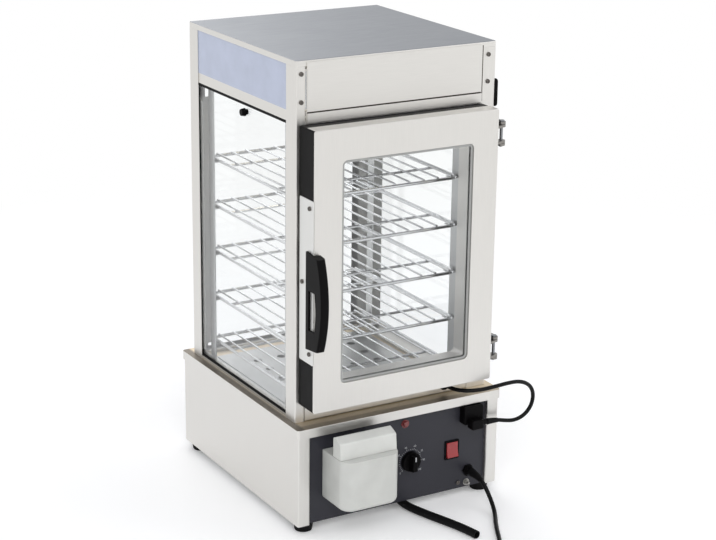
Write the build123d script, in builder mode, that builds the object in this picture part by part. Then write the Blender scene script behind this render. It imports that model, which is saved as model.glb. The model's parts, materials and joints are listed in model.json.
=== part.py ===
from build123d import *
import math
import os

os.makedirs("parts", exist_ok=True)

# A counter-top bun steamer: a glazed cabinet with five wire racks on a boiler base.
# Millimetres. X runs right along the door face, Y runs back, Z up from the worktop.

# Sheet metal
sheet = 1.5
bend_radius = 2.5
thin_sheet = 1.2

# Glazed cabinet
cab_width = 350
cab_depth = 357
cab_bottom = 176
cab_top = 740
post_side = 30
post_front_left = 17
post_front_right = 37
post_lip = 10
left_x = -cab_width / 2
right_x = cab_width / 2

# Boiler base
foot_height = 14
foot_diameter = 32
foot_inset = 20
base_beside = 9
base_ahead = 27.5
base_behind = 19.5
base_return = 21
panel_recess = 6
deck_lip = 2.5
deck_skirt_bottom = 161

# Water tank on the front panel, which reaches furthest forward
tank_reach = 64.5

# The origin lies under the middle of the whole steamer, so the cabinet stands behind it
reach_back = cab_depth / 2 + base_behind + deck_lip
reach_front = cab_depth / 2 + base_ahead + tank_reach
cab_y = (reach_front - reach_back) / 2
front_y = cab_y - cab_depth / 2
back_y = cab_y + cab_depth / 2
base_front = front_y - base_ahead
base_back = back_y + base_behind
base_right = right_x + base_beside
base_left = -base_right
panel_y = base_front + panel_recess
panel_back = panel_y + sheet
deck_top = cab_bottom
deck_under = deck_top - sheet

# Door opening, between the posts and between the bottom and middle rails
opening_left = left_x + post_front_left
opening_right = right_x - post_front_right
opening_bottom = cab_bottom + 44
opening_top = cab_top - 120
opening_x = (opening_left + opening_right) / 2
rail_depth = 12

# Side and back glazing
floor_frame_height = 5
glass = 4
gasket = 1.5
gasket_shows = 4.5
pane_bottom = cab_bottom + floor_frame_height
pane_top = opening_top + 26
ledge_left = opening_left + 2
ledge_right = opening_right - 2
middle_rail = 16
middle_frame_top = pane_top + middle_rail

# Light box over the cavity
lid_height = 9
lid_bottom = cab_top - lid_height
lid_under = cab_top - sheet
sign = 3
ceiling_glass = 3
lamp_diameter = 16
lamp_end_gap = 8
lamp_length = opening_right - opening_left - 2 * lamp_end_gap
lamp_z = cab_top - 40

# Door
door_lap_left = 11
door_lap_right = 14
door_lap_bottom = 13.5
door_lap_top = 24.8
door_left = opening_left - door_lap_left
door_right = opening_right + door_lap_right
door_bottom = opening_bottom - door_lap_bottom
door_top = opening_top + door_lap_top
door_x = (door_left + door_right) / 2
door_z = (door_bottom + door_top) / 2
door_width = door_right - door_left
door_height = door_top - door_bottom
seal_gap = 0.3
seal_depth = 4.2
seal_width = 11
liner_depth = 40
skin_return = 3
door_back = front_y - seal_gap - seal_depth
door_front = door_back - liner_depth - 3
stile_left = 47
stile_right = 44
door_rail_bottom = 41.5
door_rail_top = 48.8
window_left = door_left + stile_left
window_right = door_right - stile_right
window_bottom = door_bottom + door_rail_bottom
window_top = door_top - door_rail_top
window_radius = 8
window_reveal = 4
fit_gap = 0.3
glazing_strip = 4
glazing_groove = 2
glazing_cheek = 1.5

# Hinges on the right
pin_x = right_x - 5
pin_y = front_y - 28.5
pin_diameter = 5
pin_running_gap = 0.05
ear_radius = 6.5
ear = 4
ear_gap = 0.5
hinge_span = 38
hinge_heights = {"upper": door_top - 43.8, "lower": door_bottom + 43.5}

# Racks
rack_count = 5
rack_first = cab_bottom + 34
rack_pitch = 78
rack_side_gap = 4
rack_end_gap = 28.5
rack_width = opening_right - opening_left - 2 * rack_side_gap
rack_depth = cab_depth - 2 * rack_end_gap
rack_wire = 5
rack_corner = 14
cross_wire = 3
rack_stay = 4
cross_count = 11
weld = 0.6
rack_seat_gap = 0.2
strip_width = 18
strip_inset = 20
strip_offset = rack_depth / 2 - strip_inset
strip_gap = 3.5

# Boiler
pan_side_gap = 18
pan_end_gap = 48.5
pan_width = opening_right - opening_left - 2 * pan_side_gap
pan_depth = cab_depth - 2 * pan_end_gap
pan_floor = 96
pan_flange = 12
pan_sheet = 1
pan_x = opening_x
element_diameter = 8
element_z = 112
element_side_gap = 90
element_spread = pan_width - 2 * element_side_gap
tray_hole = 14

# Front panel pieces: across and up from the worktop
knob_x = 22
knob_z = 81
knob_diameter = 34
switch_x = base_right - 84
switch_z = 85
rocker_width = 20.4
rocker_height = 25.6
rocker_tilt = 7
lamp_x = 11
indicator_z = 147
gland_x = base_right - 52
gland_z = 43
socket_x = base_right - 52
socket_z = 143.5
tank_x = base_left + 96.75
tank_width = 101.5
tank_bottom = 51
tank_top = 134
tank_wall = 2.5
tank_floor = 4.5
tank_corner = 20
tank_foot_round = 8
hood_height = 34
feed_z = 114
feed_diameter = 12
feed_bore = 9
lid_pin_y = base_front - 21.5
lid_pin_z = tank_top + 4

# Leads and hose
lead_diameter = 6.5
cord_diameter = 7
hose_diameter = 13
hose_bore = 9
grommet_x = opening_right - 41
grommet_z = cab_bottom + 14


def save(builder, label):
    """Label a finished piece and write it."""
    builder.part.label = label
    export_step(builder.part, f"parts/{label}.step")


def facing_front(x, y, z):
    """A plane that looks towards the front, with its own up along Z."""
    return Plane(origin=(x, y, z), x_dir=(1, 0, 0), z_dir=(0, -1, 0))


def facing_left(x, y, z):
    """A plane that looks left, with its own X towards the front."""
    return Plane(origin=(x, y, z), x_dir=(0, -1, 0), z_dir=(-1, 0, 0))


def span(x0, x1, y0, y1, radius=0, mode=Mode.ADD):
    """A rectangle from corner to corner in the sketch that is open."""
    with Locations(((x0 + x1) / 2, (y0 + y1) / 2)):
        if radius:
            RectangleRounded(x1 - x0, y1 - y0, radius, mode=mode)
        else:
            Rectangle(x1 - x0, y1 - y0, mode=mode)


def folded(points, thickness, side=Side.LEFT, radius=bend_radius):
    """The section of a folded sheet whose outside follows the points."""
    with BuildLine() as section:
        FilletPolyline(*points, radius=radius)
        offset(amount=thickness, side=side)
    make_face(section.edges())


# Base
def make_base_shell():
    """One wrapper of folded sheet: back, both sides and two front returns."""
    inner = base_left + base_return
    outline = [
        (-inner, panel_y),
        (-inner, base_front),
        (base_right, base_front),
        (base_right, base_back),
        (base_left, base_back),
        (base_left, base_front),
        (inner, base_front),
        (inner, panel_y),
    ]
    with BuildPart() as shell:
        with BuildSketch(Plane.XY.offset(foot_height)):
            folded(outline, thin_sheet)
        extrude(amount=deck_under - foot_height)
        # Louvres that cool the wiring, in the middle of the back
        with BuildSketch(facing_front(0, base_back, (foot_height + deck_skirt_bottom) / 2)):
            with GridLocations(26, 16, 6, 3):
                SlotOverall(20, 4)
        extrude(amount=2 * thin_sheet, both=True, mode=Mode.SUBTRACT)
    save(shell, "base_shell")


def make_bottom_plate():
    with BuildPart() as plate:
        with BuildSketch(Plane.XY.offset(foot_height)):
            span(base_left + thin_sheet, base_right - thin_sheet, panel_back, base_back - thin_sheet, radius=2)
            # The drain hose comes down through this notch behind the panel
            span(hose_x - hose_diameter, hose_x + hose_diameter, panel_back, hose_notch_back, mode=Mode.SUBTRACT)
            with Locations(*foot_places):
                Circle(foot_bolt / 2, mode=Mode.SUBTRACT)
        extrude(amount=thin_sheet)
    save(plate, "bottom_plate")


foot_bolt = 5
foot_places = []
for foot_side in (-1, 1):
    for foot_y in (base_front + foot_inset, base_back - foot_inset):
        foot_places.append((foot_side * (base_right - foot_inset), foot_y))


def make_feet():
    """Four rubber feet, each with a sunk seat for its bolt."""
    half = foot_diameter / 2
    with BuildPart() as feet:
        for x, y in foot_places:
            with BuildSketch(facing_front(x, y, 0)):
                with BuildLine():
                    Polyline(
                        (foot_bolt / 2, 5),
                        (7, 5),
                        (7, 0),
                        (half - 3, 0),
                        (half - 2, 1),
                        (half, foot_height),
                        (foot_bolt / 2, foot_height),
                        close=True,
                    )
                make_face()
            revolve(axis=Axis((x, y, 0), (0, 0, 1)))
    save(feet, "feet")


def make_control_panel():
    with BuildPart() as panel:
        with BuildSketch(facing_front(0, panel_back, 0)):
            span(base_left + 14, base_right - 14, foot_height, deck_under)
            with Locations((knob_x, knob_z)):
                Circle(spindle_diameter / 2 + 1, mode=Mode.SUBTRACT)
            with Locations((switch_x, switch_z)):
                Rectangle(switch_body_width + 0.4, switch_body_height + 0.4, mode=Mode.SUBTRACT)
            with Locations((lamp_x, indicator_z)):
                Circle(indicator_body / 2 + 0.2, mode=Mode.SUBTRACT)
            with Locations((tank_x, feed_z)):
                Circle(feed_diameter / 2 + 0.2, mode=Mode.SUBTRACT)
        extrude(amount=sheet)
    save(panel, "control_panel")


def make_deck():
    """The deck closes the base. Its skirt turns down over the wrapper and the top of the panel."""
    skirt_left = base_left - deck_lip
    skirt_front = base_front - deck_lip
    with BuildPart() as deck:
        with BuildSketch(Plane.XY.offset(deck_skirt_bottom)):
            span(skirt_left, -skirt_left, skirt_front, base_back + deck_lip, radius=5)
            span(base_left, base_right, base_front, base_back, radius=bend_radius, mode=Mode.SUBTRACT)
        extrude(amount=deck_top - deck_skirt_bottom)
        with BuildSketch(Plane.XY.offset(deck_under)):
            span(base_left, base_right, base_front, base_back, radius=bend_radius)
            span(pan_left - 2, pan_right + 2, pan_front - 2, pan_back + 2, radius=22, mode=Mode.SUBTRACT)
        extrude(amount=sheet)
        top_edges = deck.edges().group_by(Axis.Z)[-1]
        fillet(top_edges, radius=0.8)
    save(deck, "deck")


# Boiler
pan_left = pan_x - pan_width / 2
pan_right = pan_x + pan_width / 2
pan_front = cab_y - pan_depth / 2
pan_back = cab_y + pan_depth / 2
pan_radius = 20
element_left = pan_x - element_spread / 2
element_right = pan_x + element_spread / 2
element_hole = element_diameter / 2 + 0.3
drain_x = 11
drain_y = cab_y - 70
drain_bore = 9


def make_water_pan():
    with BuildPart() as pan:
        with BuildSketch(Plane.XY.offset(pan_floor)):
            span(pan_left, pan_right, pan_front, pan_back, radius=pan_radius)
        extrude(amount=deck_top - pan_floor)
        fillet(pan.edges().group_by(Axis.Z)[0], radius=8)
        offset(amount=-pan_sheet, openings=pan.faces().sort_by(Axis.Z)[-1])
        with BuildSketch(Plane.XY.offset(deck_top)):
            span(pan_left - pan_flange, pan_right + pan_flange, pan_front - pan_flange, pan_back + pan_flange)
            span(
                pan_left + pan_sheet,
                pan_right - pan_sheet,
                pan_front + pan_sheet,
                pan_back - pan_sheet,
                radius=pan_radius - pan_sheet,
                mode=Mode.SUBTRACT,
            )
        extrude(amount=pan_sheet)
        with BuildSketch(facing_front(0, pan_front + 4, 0)):
            with Locations((element_left, element_z), (element_right, element_z)):
                Circle(element_hole)
            with Locations((tank_x, feed_z)):
                Circle(feed_diameter / 2 + 0.2)
        extrude(amount=8, mode=Mode.SUBTRACT)
        with BuildSketch(Plane.XY.offset(pan_floor)):
            with Locations((drain_x, drain_y)):
                Circle(drain_bore / 2)
        extrude(amount=pan_sheet, mode=Mode.SUBTRACT)
    save(pan, "water_pan")


def make_steam_tray():
    """A perforated plate on the pan's flange lets the steam up and catches crumbs."""
    with BuildPart() as tray:
        with BuildSketch(Plane.XY.offset(deck_top + pan_sheet)):
            span(pan_left - 8, pan_right + 8, pan_front - 8, pan_back + 8)
            with Locations((pan_x, cab_y)):
                with GridLocations(44, 44, 5, 5):
                    Circle(tray_hole / 2, mode=Mode.SUBTRACT)
        extrude(amount=thin_sheet)
    save(tray, "steam_tray")


def make_heating_element():
    """A hairpin of tubular heater, held by two glands in the front wall of the pan."""
    element_back = pan_back - element_spread / 2 - 25
    element_front = pan_front - 16
    with BuildPart() as element:
        with BuildLine() as path:
            straight = Line((element_left, element_front, element_z), (element_left, element_back, element_z))
            turn = RadiusArc(
                straight @ 1,
                (element_right, element_back, element_z),
                element_spread / 2,
            )
            Line(turn @ 1, (element_right, element_front, element_z))
        with BuildSketch(Plane(origin=path.line @ 0, z_dir=path.line % 0)):
            Circle(element_diameter / 2)
        sweep(path=path.wires()[0])
        with BuildSketch(facing_front(0, pan_front, 0)):
            with Locations((element_left, element_z), (element_right, element_z)):
                RegularPolygon(9, 6)
        extrude(amount=5)
    save(element, "heating_element")


def make_drain_elbow():
    """A pipe bend under the pan, whose foot points forward for the hose."""
    with BuildPart() as elbow:
        with BuildLine() as path:
            FilletPolyline(
                (drain_x, drain_y, pan_floor),
                (drain_x, drain_y, hose_start_z),
                (drain_x, hose_start_y, hose_start_z),
                radius=16,
            )
        with BuildSketch(Plane.XY.offset(pan_floor)):
            with Locations((drain_x, drain_y)):
                Circle(hose_diameter / 2)
                Circle(drain_bore / 2, mode=Mode.SUBTRACT)
        sweep(path=path.wires()[0])
        with BuildSketch(Plane.XY.offset(pan_floor)):
            with Locations((drain_x, drain_y)):
                Circle(14)
                Circle(drain_bore / 2, mode=Mode.SUBTRACT)
        extrude(amount=-3)
    save(elbow, "drain_elbow")


# Controls
spindle_diameter = 6
thermostat_depth = 26
bezel_proud = 2
switch_body_width = 23.8
switch_body_height = 29.6
switch_depth = 22
rocker_pivot_y = panel_y - bezel_proud + 2
indicator_body = 8


def make_thermostat():
    with BuildPart() as thermostat:
        with BuildSketch(facing_front(knob_x, panel_back + thermostat_depth, knob_z)):
            Circle(21)
            Circle(spindle_diameter / 2 + pin_running_gap, mode=Mode.SUBTRACT)
        extrude(amount=thermostat_depth)
    save(thermostat, "thermostat")


def make_knob():
    """A skirted knob with a grip bar across it, on its spindle."""
    half = knob_diameter / 2
    with BuildPart() as knob:
        with BuildSketch(facing_front(knob_x, panel_y - 0.6, knob_z)):
            Circle(half)
        extrude(amount=6, taper=8)
        with BuildSketch(facing_front(knob_x, panel_y - 6.6, knob_z)):
            Circle(half - 2)
            Rectangle(10, knob_diameter - 6, mode=Mode.INTERSECT)
        extrude(amount=11, taper=5)
        grip_edges = knob.edges().group_by(Axis.Y)[0]
        fillet(grip_edges, radius=1.5)
        with BuildSketch(facing_front(knob_x, panel_y - 0.6, knob_z)):
            Circle(spindle_diameter / 2)
        extrude(amount=-(sheet + thermostat_depth - 4))
    save(knob, "thermostat_knob")


def make_switch():
    with BuildPart() as switch:
        with BuildSketch(facing_front(switch_x, panel_y, switch_z)):
            RectangleRounded(switch_body_width + 3, switch_body_height + 3, 2)
        extrude(amount=bezel_proud)
        with BuildSketch(facing_front(switch_x, panel_y, switch_z)):
            Rectangle(switch_body_width, switch_body_height)
        extrude(amount=-switch_depth)
        with BuildSketch(facing_front(switch_x, panel_y - bezel_proud, switch_z)):
            Rectangle(rocker_width + 0.8, rocker_height + 1.8)
        extrude(amount=-14, mode=Mode.SUBTRACT)
    save(switch, "switch_body")


def make_rocker():
    """The rocker stands with its top pressed in. It turns about a line across the switch."""
    half = rocker_height / 2
    tilt = math.radians(rocker_tilt)
    section = Plane(
        origin=(switch_x - rocker_width / 2, rocker_pivot_y, switch_z),
        x_dir=(0, -math.cos(tilt), math.sin(tilt)),
        z_dir=(1, 0, 0),
    )
    rise = half * math.tan(tilt)
    with BuildPart() as rocker:
        with BuildSketch(section):
            with BuildLine():
                Polyline(
                    (3.2, 0),
                    (3.2 + rise, half),
                    (-3, half - 0.5),
                    (-5, 5),
                    (-5, -5),
                    (-3, -half + 0.5),
                    (3.2 + rise, -half),
                    close=True,
                )
            make_face()
        extrude(amount=rocker_width)
        rocker_face = rocker.edges().filter_by(Axis.X).sort_by(Axis.Y)[:1]
        fillet(rocker_face, radius=0.8)
    save(rocker, "switch_rocker")


def make_indicator():
    """The pilot lamp's lens and collar, with its neck through the panel."""
    with BuildPart() as indicator:
        with BuildSketch(facing_front(lamp_x, panel_y, indicator_z)):
            Circle(7)
        extrude(amount=1.2)
        with BuildSketch(facing_front(lamp_x, panel_y - 1.2, indicator_z)):
            Circle(5)
        extrude(amount=4.3)
        fillet(indicator.edges().group_by(Axis.Y)[0], radius=2.5)
        with BuildSketch(facing_front(lamp_x, panel_y, indicator_z)):
            Circle(indicator_body / 2)
        extrude(amount=-20)
    save(indicator, "indicator_lamp")


gland_length = 12


def make_gland():
    """The gland's hexagon and nose, where the mains cord comes out."""
    with BuildPart() as gland:
        with BuildSketch(facing_front(gland_x, panel_y, gland_z)):
            RegularPolygon(10, 6)
        extrude(amount=5)
        with BuildSketch(facing_front(gland_x, panel_y - 5, gland_z)):
            Circle(8)
        extrude(amount=gland_length - 5, taper=18)
    save(gland, "cord_gland")


socket_depth = 15
plug_depth = 14


def make_lamp_socket():
    with BuildPart() as socket:
        with BuildSketch(facing_front(socket_x, panel_y, socket_z)):
            RectangleRounded(36, 31, 3)
        extrude(amount=socket_depth)
        fillet(socket.edges().group_by(Axis.Y)[0], radius=1.5)
    save(socket, "lamp_socket")


def make_lamp_plug():
    """The lead's plug stands on the socket, and its neck points right."""
    plug_y = panel_y - socket_depth
    with BuildPart() as plug:
        with BuildSketch(facing_front(lead_plug_x, plug_y, lead_plug_z)):
            RectangleRounded(22, 16, 3)
        extrude(amount=plug_depth)
        fillet(plug.edges().group_by(Axis.Y)[0], radius=2)
        with BuildSketch(Plane(origin=(lead_plug_x + 9, plug_y - plug_depth / 2, lead_plug_z), z_dir=(1, 0, 0))):
            Circle(5)
        extrude(amount=lead_neck_x - lead_plug_x - 9, taper=4)
    save(plug, "lamp_plug")


def make_grommet():
    with BuildPart() as grommet:
        with BuildSketch(Plane(origin=(grommet_x, front_y, grommet_z), x_dir=(1, 0, 0), z_dir=(0, 0, 1))):
            with BuildLine():
                Polyline((0, 5), (8, 5), (8, sheet), (6, sheet), (6, 0), (9, 0), (9, -1.5), (5, -3), (0, -3), close=True)
            make_face()
        revolve(axis=Axis((grommet_x, front_y, grommet_z), (0, 1, 0)))
    save(grommet, "lead_grommet")


# Water tank
def make_tank_body():
    """A moulded tank. Its top is closed behind the filler opening, and two lugs carry the cap."""
    back = panel_y
    front = base_front - tank_reach
    left = tank_x - tank_width / 2
    right = tank_x + tank_width / 2
    with BuildPart() as tank:
        with BuildSketch(Plane.XY.offset(tank_bottom)) as plan:
            span(left, right, front, back)
            fillet(plan.vertices().group_by(Axis.Y)[0], radius=tank_corner)
        extrude(amount=tank_top - tank_bottom)
        fillet(tank.edges().group_by(Axis.Z)[0].filter_by(lambda edge: edge.center().Y < back - 1), radius=tank_foot_round)
        with BuildSketch(Plane.XY.offset(tank_bottom + tank_floor)):
            span(left + tank_wall, right - tank_wall, front + tank_wall, back - tank_wall, radius=tank_corner - tank_wall)
        extrude(amount=tank_top - tank_bottom - tank_floor - tank_wall, mode=Mode.SUBTRACT)
        with BuildSketch(Plane.XY.offset(tank_top)):
            span(hood_left + 6, hood_right - 6, hood_front + 5, hood_back - 3)
        extrude(amount=-2 * tank_wall, mode=Mode.SUBTRACT)
        with BuildSketch(facing_front(tank_x, back, feed_z)):
            Circle(feed_diameter / 2 + 0.2)
        extrude(amount=2 * tank_wall, mode=Mode.SUBTRACT)
        for lug_x in (hood_left + 4, hood_right - 8):
            with BuildSketch(Plane.YZ.offset(lug_x)):
                with Locations((lid_pin_y, lid_pin_z)):
                    Circle(3.5)
                span(lid_pin_y - 3.5, lid_pin_y + 3.5, tank_top, lid_pin_z)
                with Locations((lid_pin_y, lid_pin_z)):
                    Circle(lid_pin / 2 + 0.02, mode=Mode.SUBTRACT)
            extrude(amount=4)
    save(tank, "tank_body")


lid_pin = 3
hood_wall = 2.2
hood_left = tank_x - tank_width / 2 + 1
hood_right = tank_x + tank_width / 2 - 1
hood_back = lid_pin_y - 3.5
hood_front = base_front - tank_reach + 15.5


def make_tank_cap():
    """The filler cap is a hollow hood with a sloping top. It tips back about the pin behind it."""
    top = tank_top + hood_height
    base = tank_top + 0.3
    with BuildPart() as cap:
        with BuildSketch(Plane.YZ.offset(hood_left)):
            with BuildLine():
                Polyline(
                    (hood_back, base),
                    (hood_back, top),
                    (hood_front + 3, top - 8),
                    (hood_front, base),
                    close=True,
                )
            make_face()
        extrude(amount=hood_right - hood_left)
        fillet(cap.edges().filter_by(Axis.X).filter_by(lambda edge: edge.center().Z > top - 20), radius=4)
        offset(amount=-hood_wall, openings=cap.faces().sort_by(Axis.Z)[0])
        with BuildSketch(Plane.YZ.offset(hood_left + 9)):
            with Locations((lid_pin_y, lid_pin_z)):
                Circle(3.5)
            span(hood_back - 1, lid_pin_y, lid_pin_z - 2, lid_pin_z + 3.5)
            with Locations((lid_pin_y, lid_pin_z)):
                Circle(lid_pin / 2 + pin_running_gap, mode=Mode.SUBTRACT)
        extrude(amount=hood_right - hood_left - 18)
    save(cap, "tank_cap")


def make_tank_pin():
    with BuildPart() as pin:
        with BuildSketch(Plane.YZ.offset(hood_left + 3)):
            with Locations((lid_pin_y, lid_pin_z)):
                Circle(lid_pin / 2)
        extrude(amount=hood_right - hood_left - 6)
    save(pin, "tank_cap_pin")


def make_feed_pipe():
    """The pipe that lets water from the tank into the pan, with a nut inside each."""
    tank_face = panel_y - tank_wall
    pan_face = pan_front + pan_sheet
    with BuildPart() as pipe:
        with BuildSketch(facing_front(tank_x, pan_face + 8, feed_z)):
            Circle(feed_diameter / 2)
            Circle(feed_bore / 2, mode=Mode.SUBTRACT)
        extrude(amount=pan_face - tank_face + 16)
        with BuildSketch(facing_front(tank_x, tank_face, feed_z), facing_front(tank_x, pan_face + 4, feed_z)):
            RegularPolygon(9.5, 6)
            Circle(feed_bore / 2, mode=Mode.SUBTRACT)
        extrude(amount=4)
    save(pipe, "feed_pipe")


# Cabinet frame
def make_post(label, x, y, towards_x, towards_y, face, lip):
    """A corner post of folded sheet. The front posts have a lip along the door opening."""
    inner_x = x + towards_x * face
    outline = [
        (inner_x, y),
        (x, y),
        (x, y + towards_y * post_side),
    ]
    if lip:
        outline.insert(0, (inner_x, y + towards_y * lip))
    side = Side.LEFT if towards_x * towards_y < 0 else Side.RIGHT
    with BuildPart() as post:
        with BuildSketch(Plane.XY.offset(cab_bottom)):
            folded(outline, sheet, side)
        extrude(amount=lid_bottom - cab_bottom)
    save(post, label)


def channel(low, high, open_to):
    """The section of a front rail: a channel that is open at the back."""
    folded([(open_to, low), (front_y, low), (front_y, high), (open_to, high)], sheet, Side.RIGHT)


rail_back = front_y + rail_depth


def make_floor_frame():
    """The frame that stands on the deck: a ring round the cavity and the rail under the door."""
    with BuildPart() as frame:
        with BuildSketch(Plane.XY.offset(cab_bottom)):
            span(left_x + sheet, right_x - sheet, rail_back - 2, back_y - sheet, radius=2)
            span(ledge_left, ledge_right, rail_back, back_y - 15, mode=Mode.SUBTRACT)
        extrude(amount=floor_frame_height)
        with BuildSketch(Plane.YZ.offset(opening_left)):
            channel(cab_bottom, opening_bottom, rail_back)
        extrude(amount=opening_right - opening_left)
        with BuildSketch(facing_front(grommet_x, front_y + sheet, grommet_z)):
            Circle(6)
        extrude(amount=sheet, mode=Mode.SUBTRACT)
    save(frame, "floor_frame")


def make_middle_frame():
    """The frame over the panes, with the ledge that the ceiling glass lies on."""
    with BuildPart() as frame:
        with BuildSketch(Plane.XY.offset(pane_top)):
            span(left_x + sheet, right_x - sheet, rail_back - 2, back_y - sheet, radius=2)
            span(left_x + 2 * sheet, right_x - 2 * sheet, rail_back - 2, back_y - 2 * sheet, mode=Mode.SUBTRACT)
        extrude(amount=middle_rail)
        with BuildSketch(Plane.XY.offset(pane_top)):
            span(left_x + sheet, right_x - sheet, rail_back - 2, back_y - sheet, radius=2)
            span(ledge_left, ledge_right, rail_back, back_y - 15, mode=Mode.SUBTRACT)
        extrude(amount=sheet)
        with BuildSketch(Plane.YZ.offset(opening_left)):
            channel(opening_top, middle_frame_top + 2, rail_back)
        extrude(amount=opening_right - opening_left)
    save(frame, "middle_frame")


def make_top_panel():
    """The top is a shallow folded lid over the light box."""
    with BuildPart() as top:
        with BuildSketch(Plane.XY.offset(lid_bottom)):
            span(left_x, right_x, front_y, back_y, radius=3)
        extrude(amount=lid_height)
        fillet(top.edges().group_by(Axis.Z)[-1], radius=1.4)
        with BuildSketch(Plane.XY.offset(lid_bottom)):
            span(left_x + sheet, right_x - sheet, front_y + sheet, back_y - sheet)
        extrude(amount=lid_height - sheet, mode=Mode.SUBTRACT)
    save(top, "top_panel")


def make_fascia():
    """The cover sheet over the front of the light box, with a hem along its foot."""
    fascia_left = opening_left + 1
    fascia_right = 149
    fascia_bottom = door_top + 1.2
    with BuildPart() as fascia:
        with BuildSketch(facing_front(0, front_y, 0)):
            span(fascia_left, fascia_right, fascia_bottom, cab_top - 3)
        extrude(amount=sheet)
        with BuildSketch(facing_front(0, front_y - sheet, 0)):
            span(fascia_left, fascia_right, fascia_bottom, fascia_bottom + 15)
        extrude(amount=sheet)
        fillet(fascia.edges().filter_by(Axis.X).group_by(Axis.Y)[0], radius=0.7)
    save(fascia, "front_fascia")


def make_sign_panels():
    """Three translucent panels round the light box."""
    with BuildPart() as signs:
        with BuildSketch(Plane.XY.offset(middle_frame_top)):
            side_front = front_y + sheet + 1
            side_back = back_y - sheet - sign - 0.5
            span(left_x + sheet, left_x + sheet + sign, side_front, side_back)
            span(right_x - sheet - sign, right_x - sheet, side_front, side_back)
            span(left_x + sheet + 1, right_x - sheet - 1, back_y - sheet - sign, back_y - sheet)
        extrude(amount=lid_under - middle_frame_top)
    save(signs, "sign_panels")


def make_side_pane(side, label):
    """A side pane, bedded on a thin gasket inside its two posts."""
    outer = side * (cab_width / 2 - sheet - gasket)
    inner = outer - side * glass
    knob_hole_z = pane_top - 16
    with BuildPart() as pane:
        with BuildSketch(Plane.YZ.offset(min(outer, inner))):
            span(side_pane_front, side_pane_back, pane_bottom, pane_top)
            with Locations((pane_knob_y, knob_hole_z)):
                Circle(2.7, mode=Mode.SUBTRACT)
        extrude(amount=glass)
    save(pane, label)


side_pane_front = front_y + sheet + 1
side_pane_back = back_y - sheet - gasket - glass - 1
pane_knob_y = cab_y - 10
pane_knob_z = pane_top - 16


def make_back_pane():
    with BuildPart() as pane:
        with BuildSketch(facing_front(0, back_y - sheet - gasket, 0)):
            span(left_x + sheet + 1, right_x - sheet - 1, pane_bottom, pane_top)
        extrude(amount=glass)
    save(pane, "back_glass")


def make_pane_gaskets():
    """Black strips between each pane and its posts. The one at the back shows wider."""
    low = pane_bottom + gasket_shows
    high = pane_top - gasket_shows
    with BuildPart() as gaskets:
        for x in (left_x + sheet, right_x - sheet - gasket):
            with BuildSketch(Plane.YZ.offset(x)):
                span(side_pane_front, side_pane_back, pane_bottom, pane_top)
                span(front_y + post_side - 0.5, back_y - post_side + 0.5, low, high, mode=Mode.SUBTRACT)
            extrude(amount=gasket)
        with BuildSketch(facing_front(0, back_y - sheet, 0)):
            span(left_x + sheet + 2, right_x - sheet - 2, pane_bottom, pane_top)
            span(opening_left + 10, opening_right - 10, low, high, mode=Mode.SUBTRACT)
        extrude(amount=gasket)
    save(gaskets, "pane_gaskets")


def make_pane_knobs():
    """A small black knob near the top of each side pane, on a stud through the glass."""
    with BuildPart() as knobs:
        for side in (-1, 1):
            face = side * (cab_width / 2 - sheet - gasket)
            with BuildSketch(Plane(origin=(face, pane_knob_y, pane_knob_z), z_dir=(side, 0, 0))):
                Circle(6.5)
            extrude(amount=7, taper=10)
            with BuildSketch(Plane(origin=(face, pane_knob_y, pane_knob_z), z_dir=(side, 0, 0))):
                Circle(2.5)
            extrude(amount=-glass)
            with BuildSketch(Plane(origin=(face - side * glass, pane_knob_y, pane_knob_z), z_dir=(-side, 0, 0))):
                RegularPolygon(4.6, 6)
            extrude(amount=3)
    save(knobs, "pane_knobs")


def make_ceiling_glass():
    with BuildPart() as ceiling:
        with BuildSketch(Plane.XY.offset(pane_top + sheet)):
            span(ledge_left - 8, ledge_right + 8, rail_back + 1, back_y - 8)
        extrude(amount=ceiling_glass)
    save(ceiling, "ceiling_glass")


def make_lamp():
    with BuildPart() as lamp:
        with BuildSketch(Plane(origin=(opening_x - lamp_length / 2, cab_y, lamp_z), z_dir=(1, 0, 0))):
            Circle(lamp_diameter / 2)
        extrude(amount=lamp_length)
        fillet(lamp.edges(), radius=2)
    save(lamp, "lamp_tube")


def make_lamp_holders():
    """Two holders hang from the top and grip the ends of the lamp."""
    with BuildPart() as holders:
        for side in (-1, 1):
            face = opening_x + side * lamp_length / 2
            with BuildSketch(Plane(origin=(face, cab_y, lamp_z), x_dir=(0, 1, 0), z_dir=(side, 0, 0))):
                Circle(13)
                with BuildLine():
                    Polyline((-13, 0), (-13, side * (lid_under - lamp_z)), (13, side * (lid_under - lamp_z)), (13, 0), close=True)
                make_face()
            extrude(amount=11)
    save(holders, "lamp_holders")


def make_wire_cover():
    """A black moulded cover on the right front post, over the wires to the lamp."""
    with BuildPart() as cover:
        with BuildSketch(Plane(origin=(right_x, front_y + 5, middle_frame_top - 4), z_dir=(1, 0, 0), x_dir=(0, 0, 1))):
            SlotOverall(44, 10)
        extrude(amount=7)
        fillet(cover.edges().group_by(Axis.X)[-1], radius=3)
    save(cover, "wire_cover")


# Racks
def rack_level(number):
    return rack_first + (number - 1) * rack_pitch


rack_left = opening_x - rack_width / 2
rack_right = opening_x + rack_width / 2
rack_front = cab_y - rack_depth / 2
rack_back = cab_y + rack_depth / 2


def wire_section(diameter):
    """A drawn wire's section with eight sides, in the sketch that is open."""
    RegularPolygon(diameter / 2, 8, major_radius=False, rotation=22.5)


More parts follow.
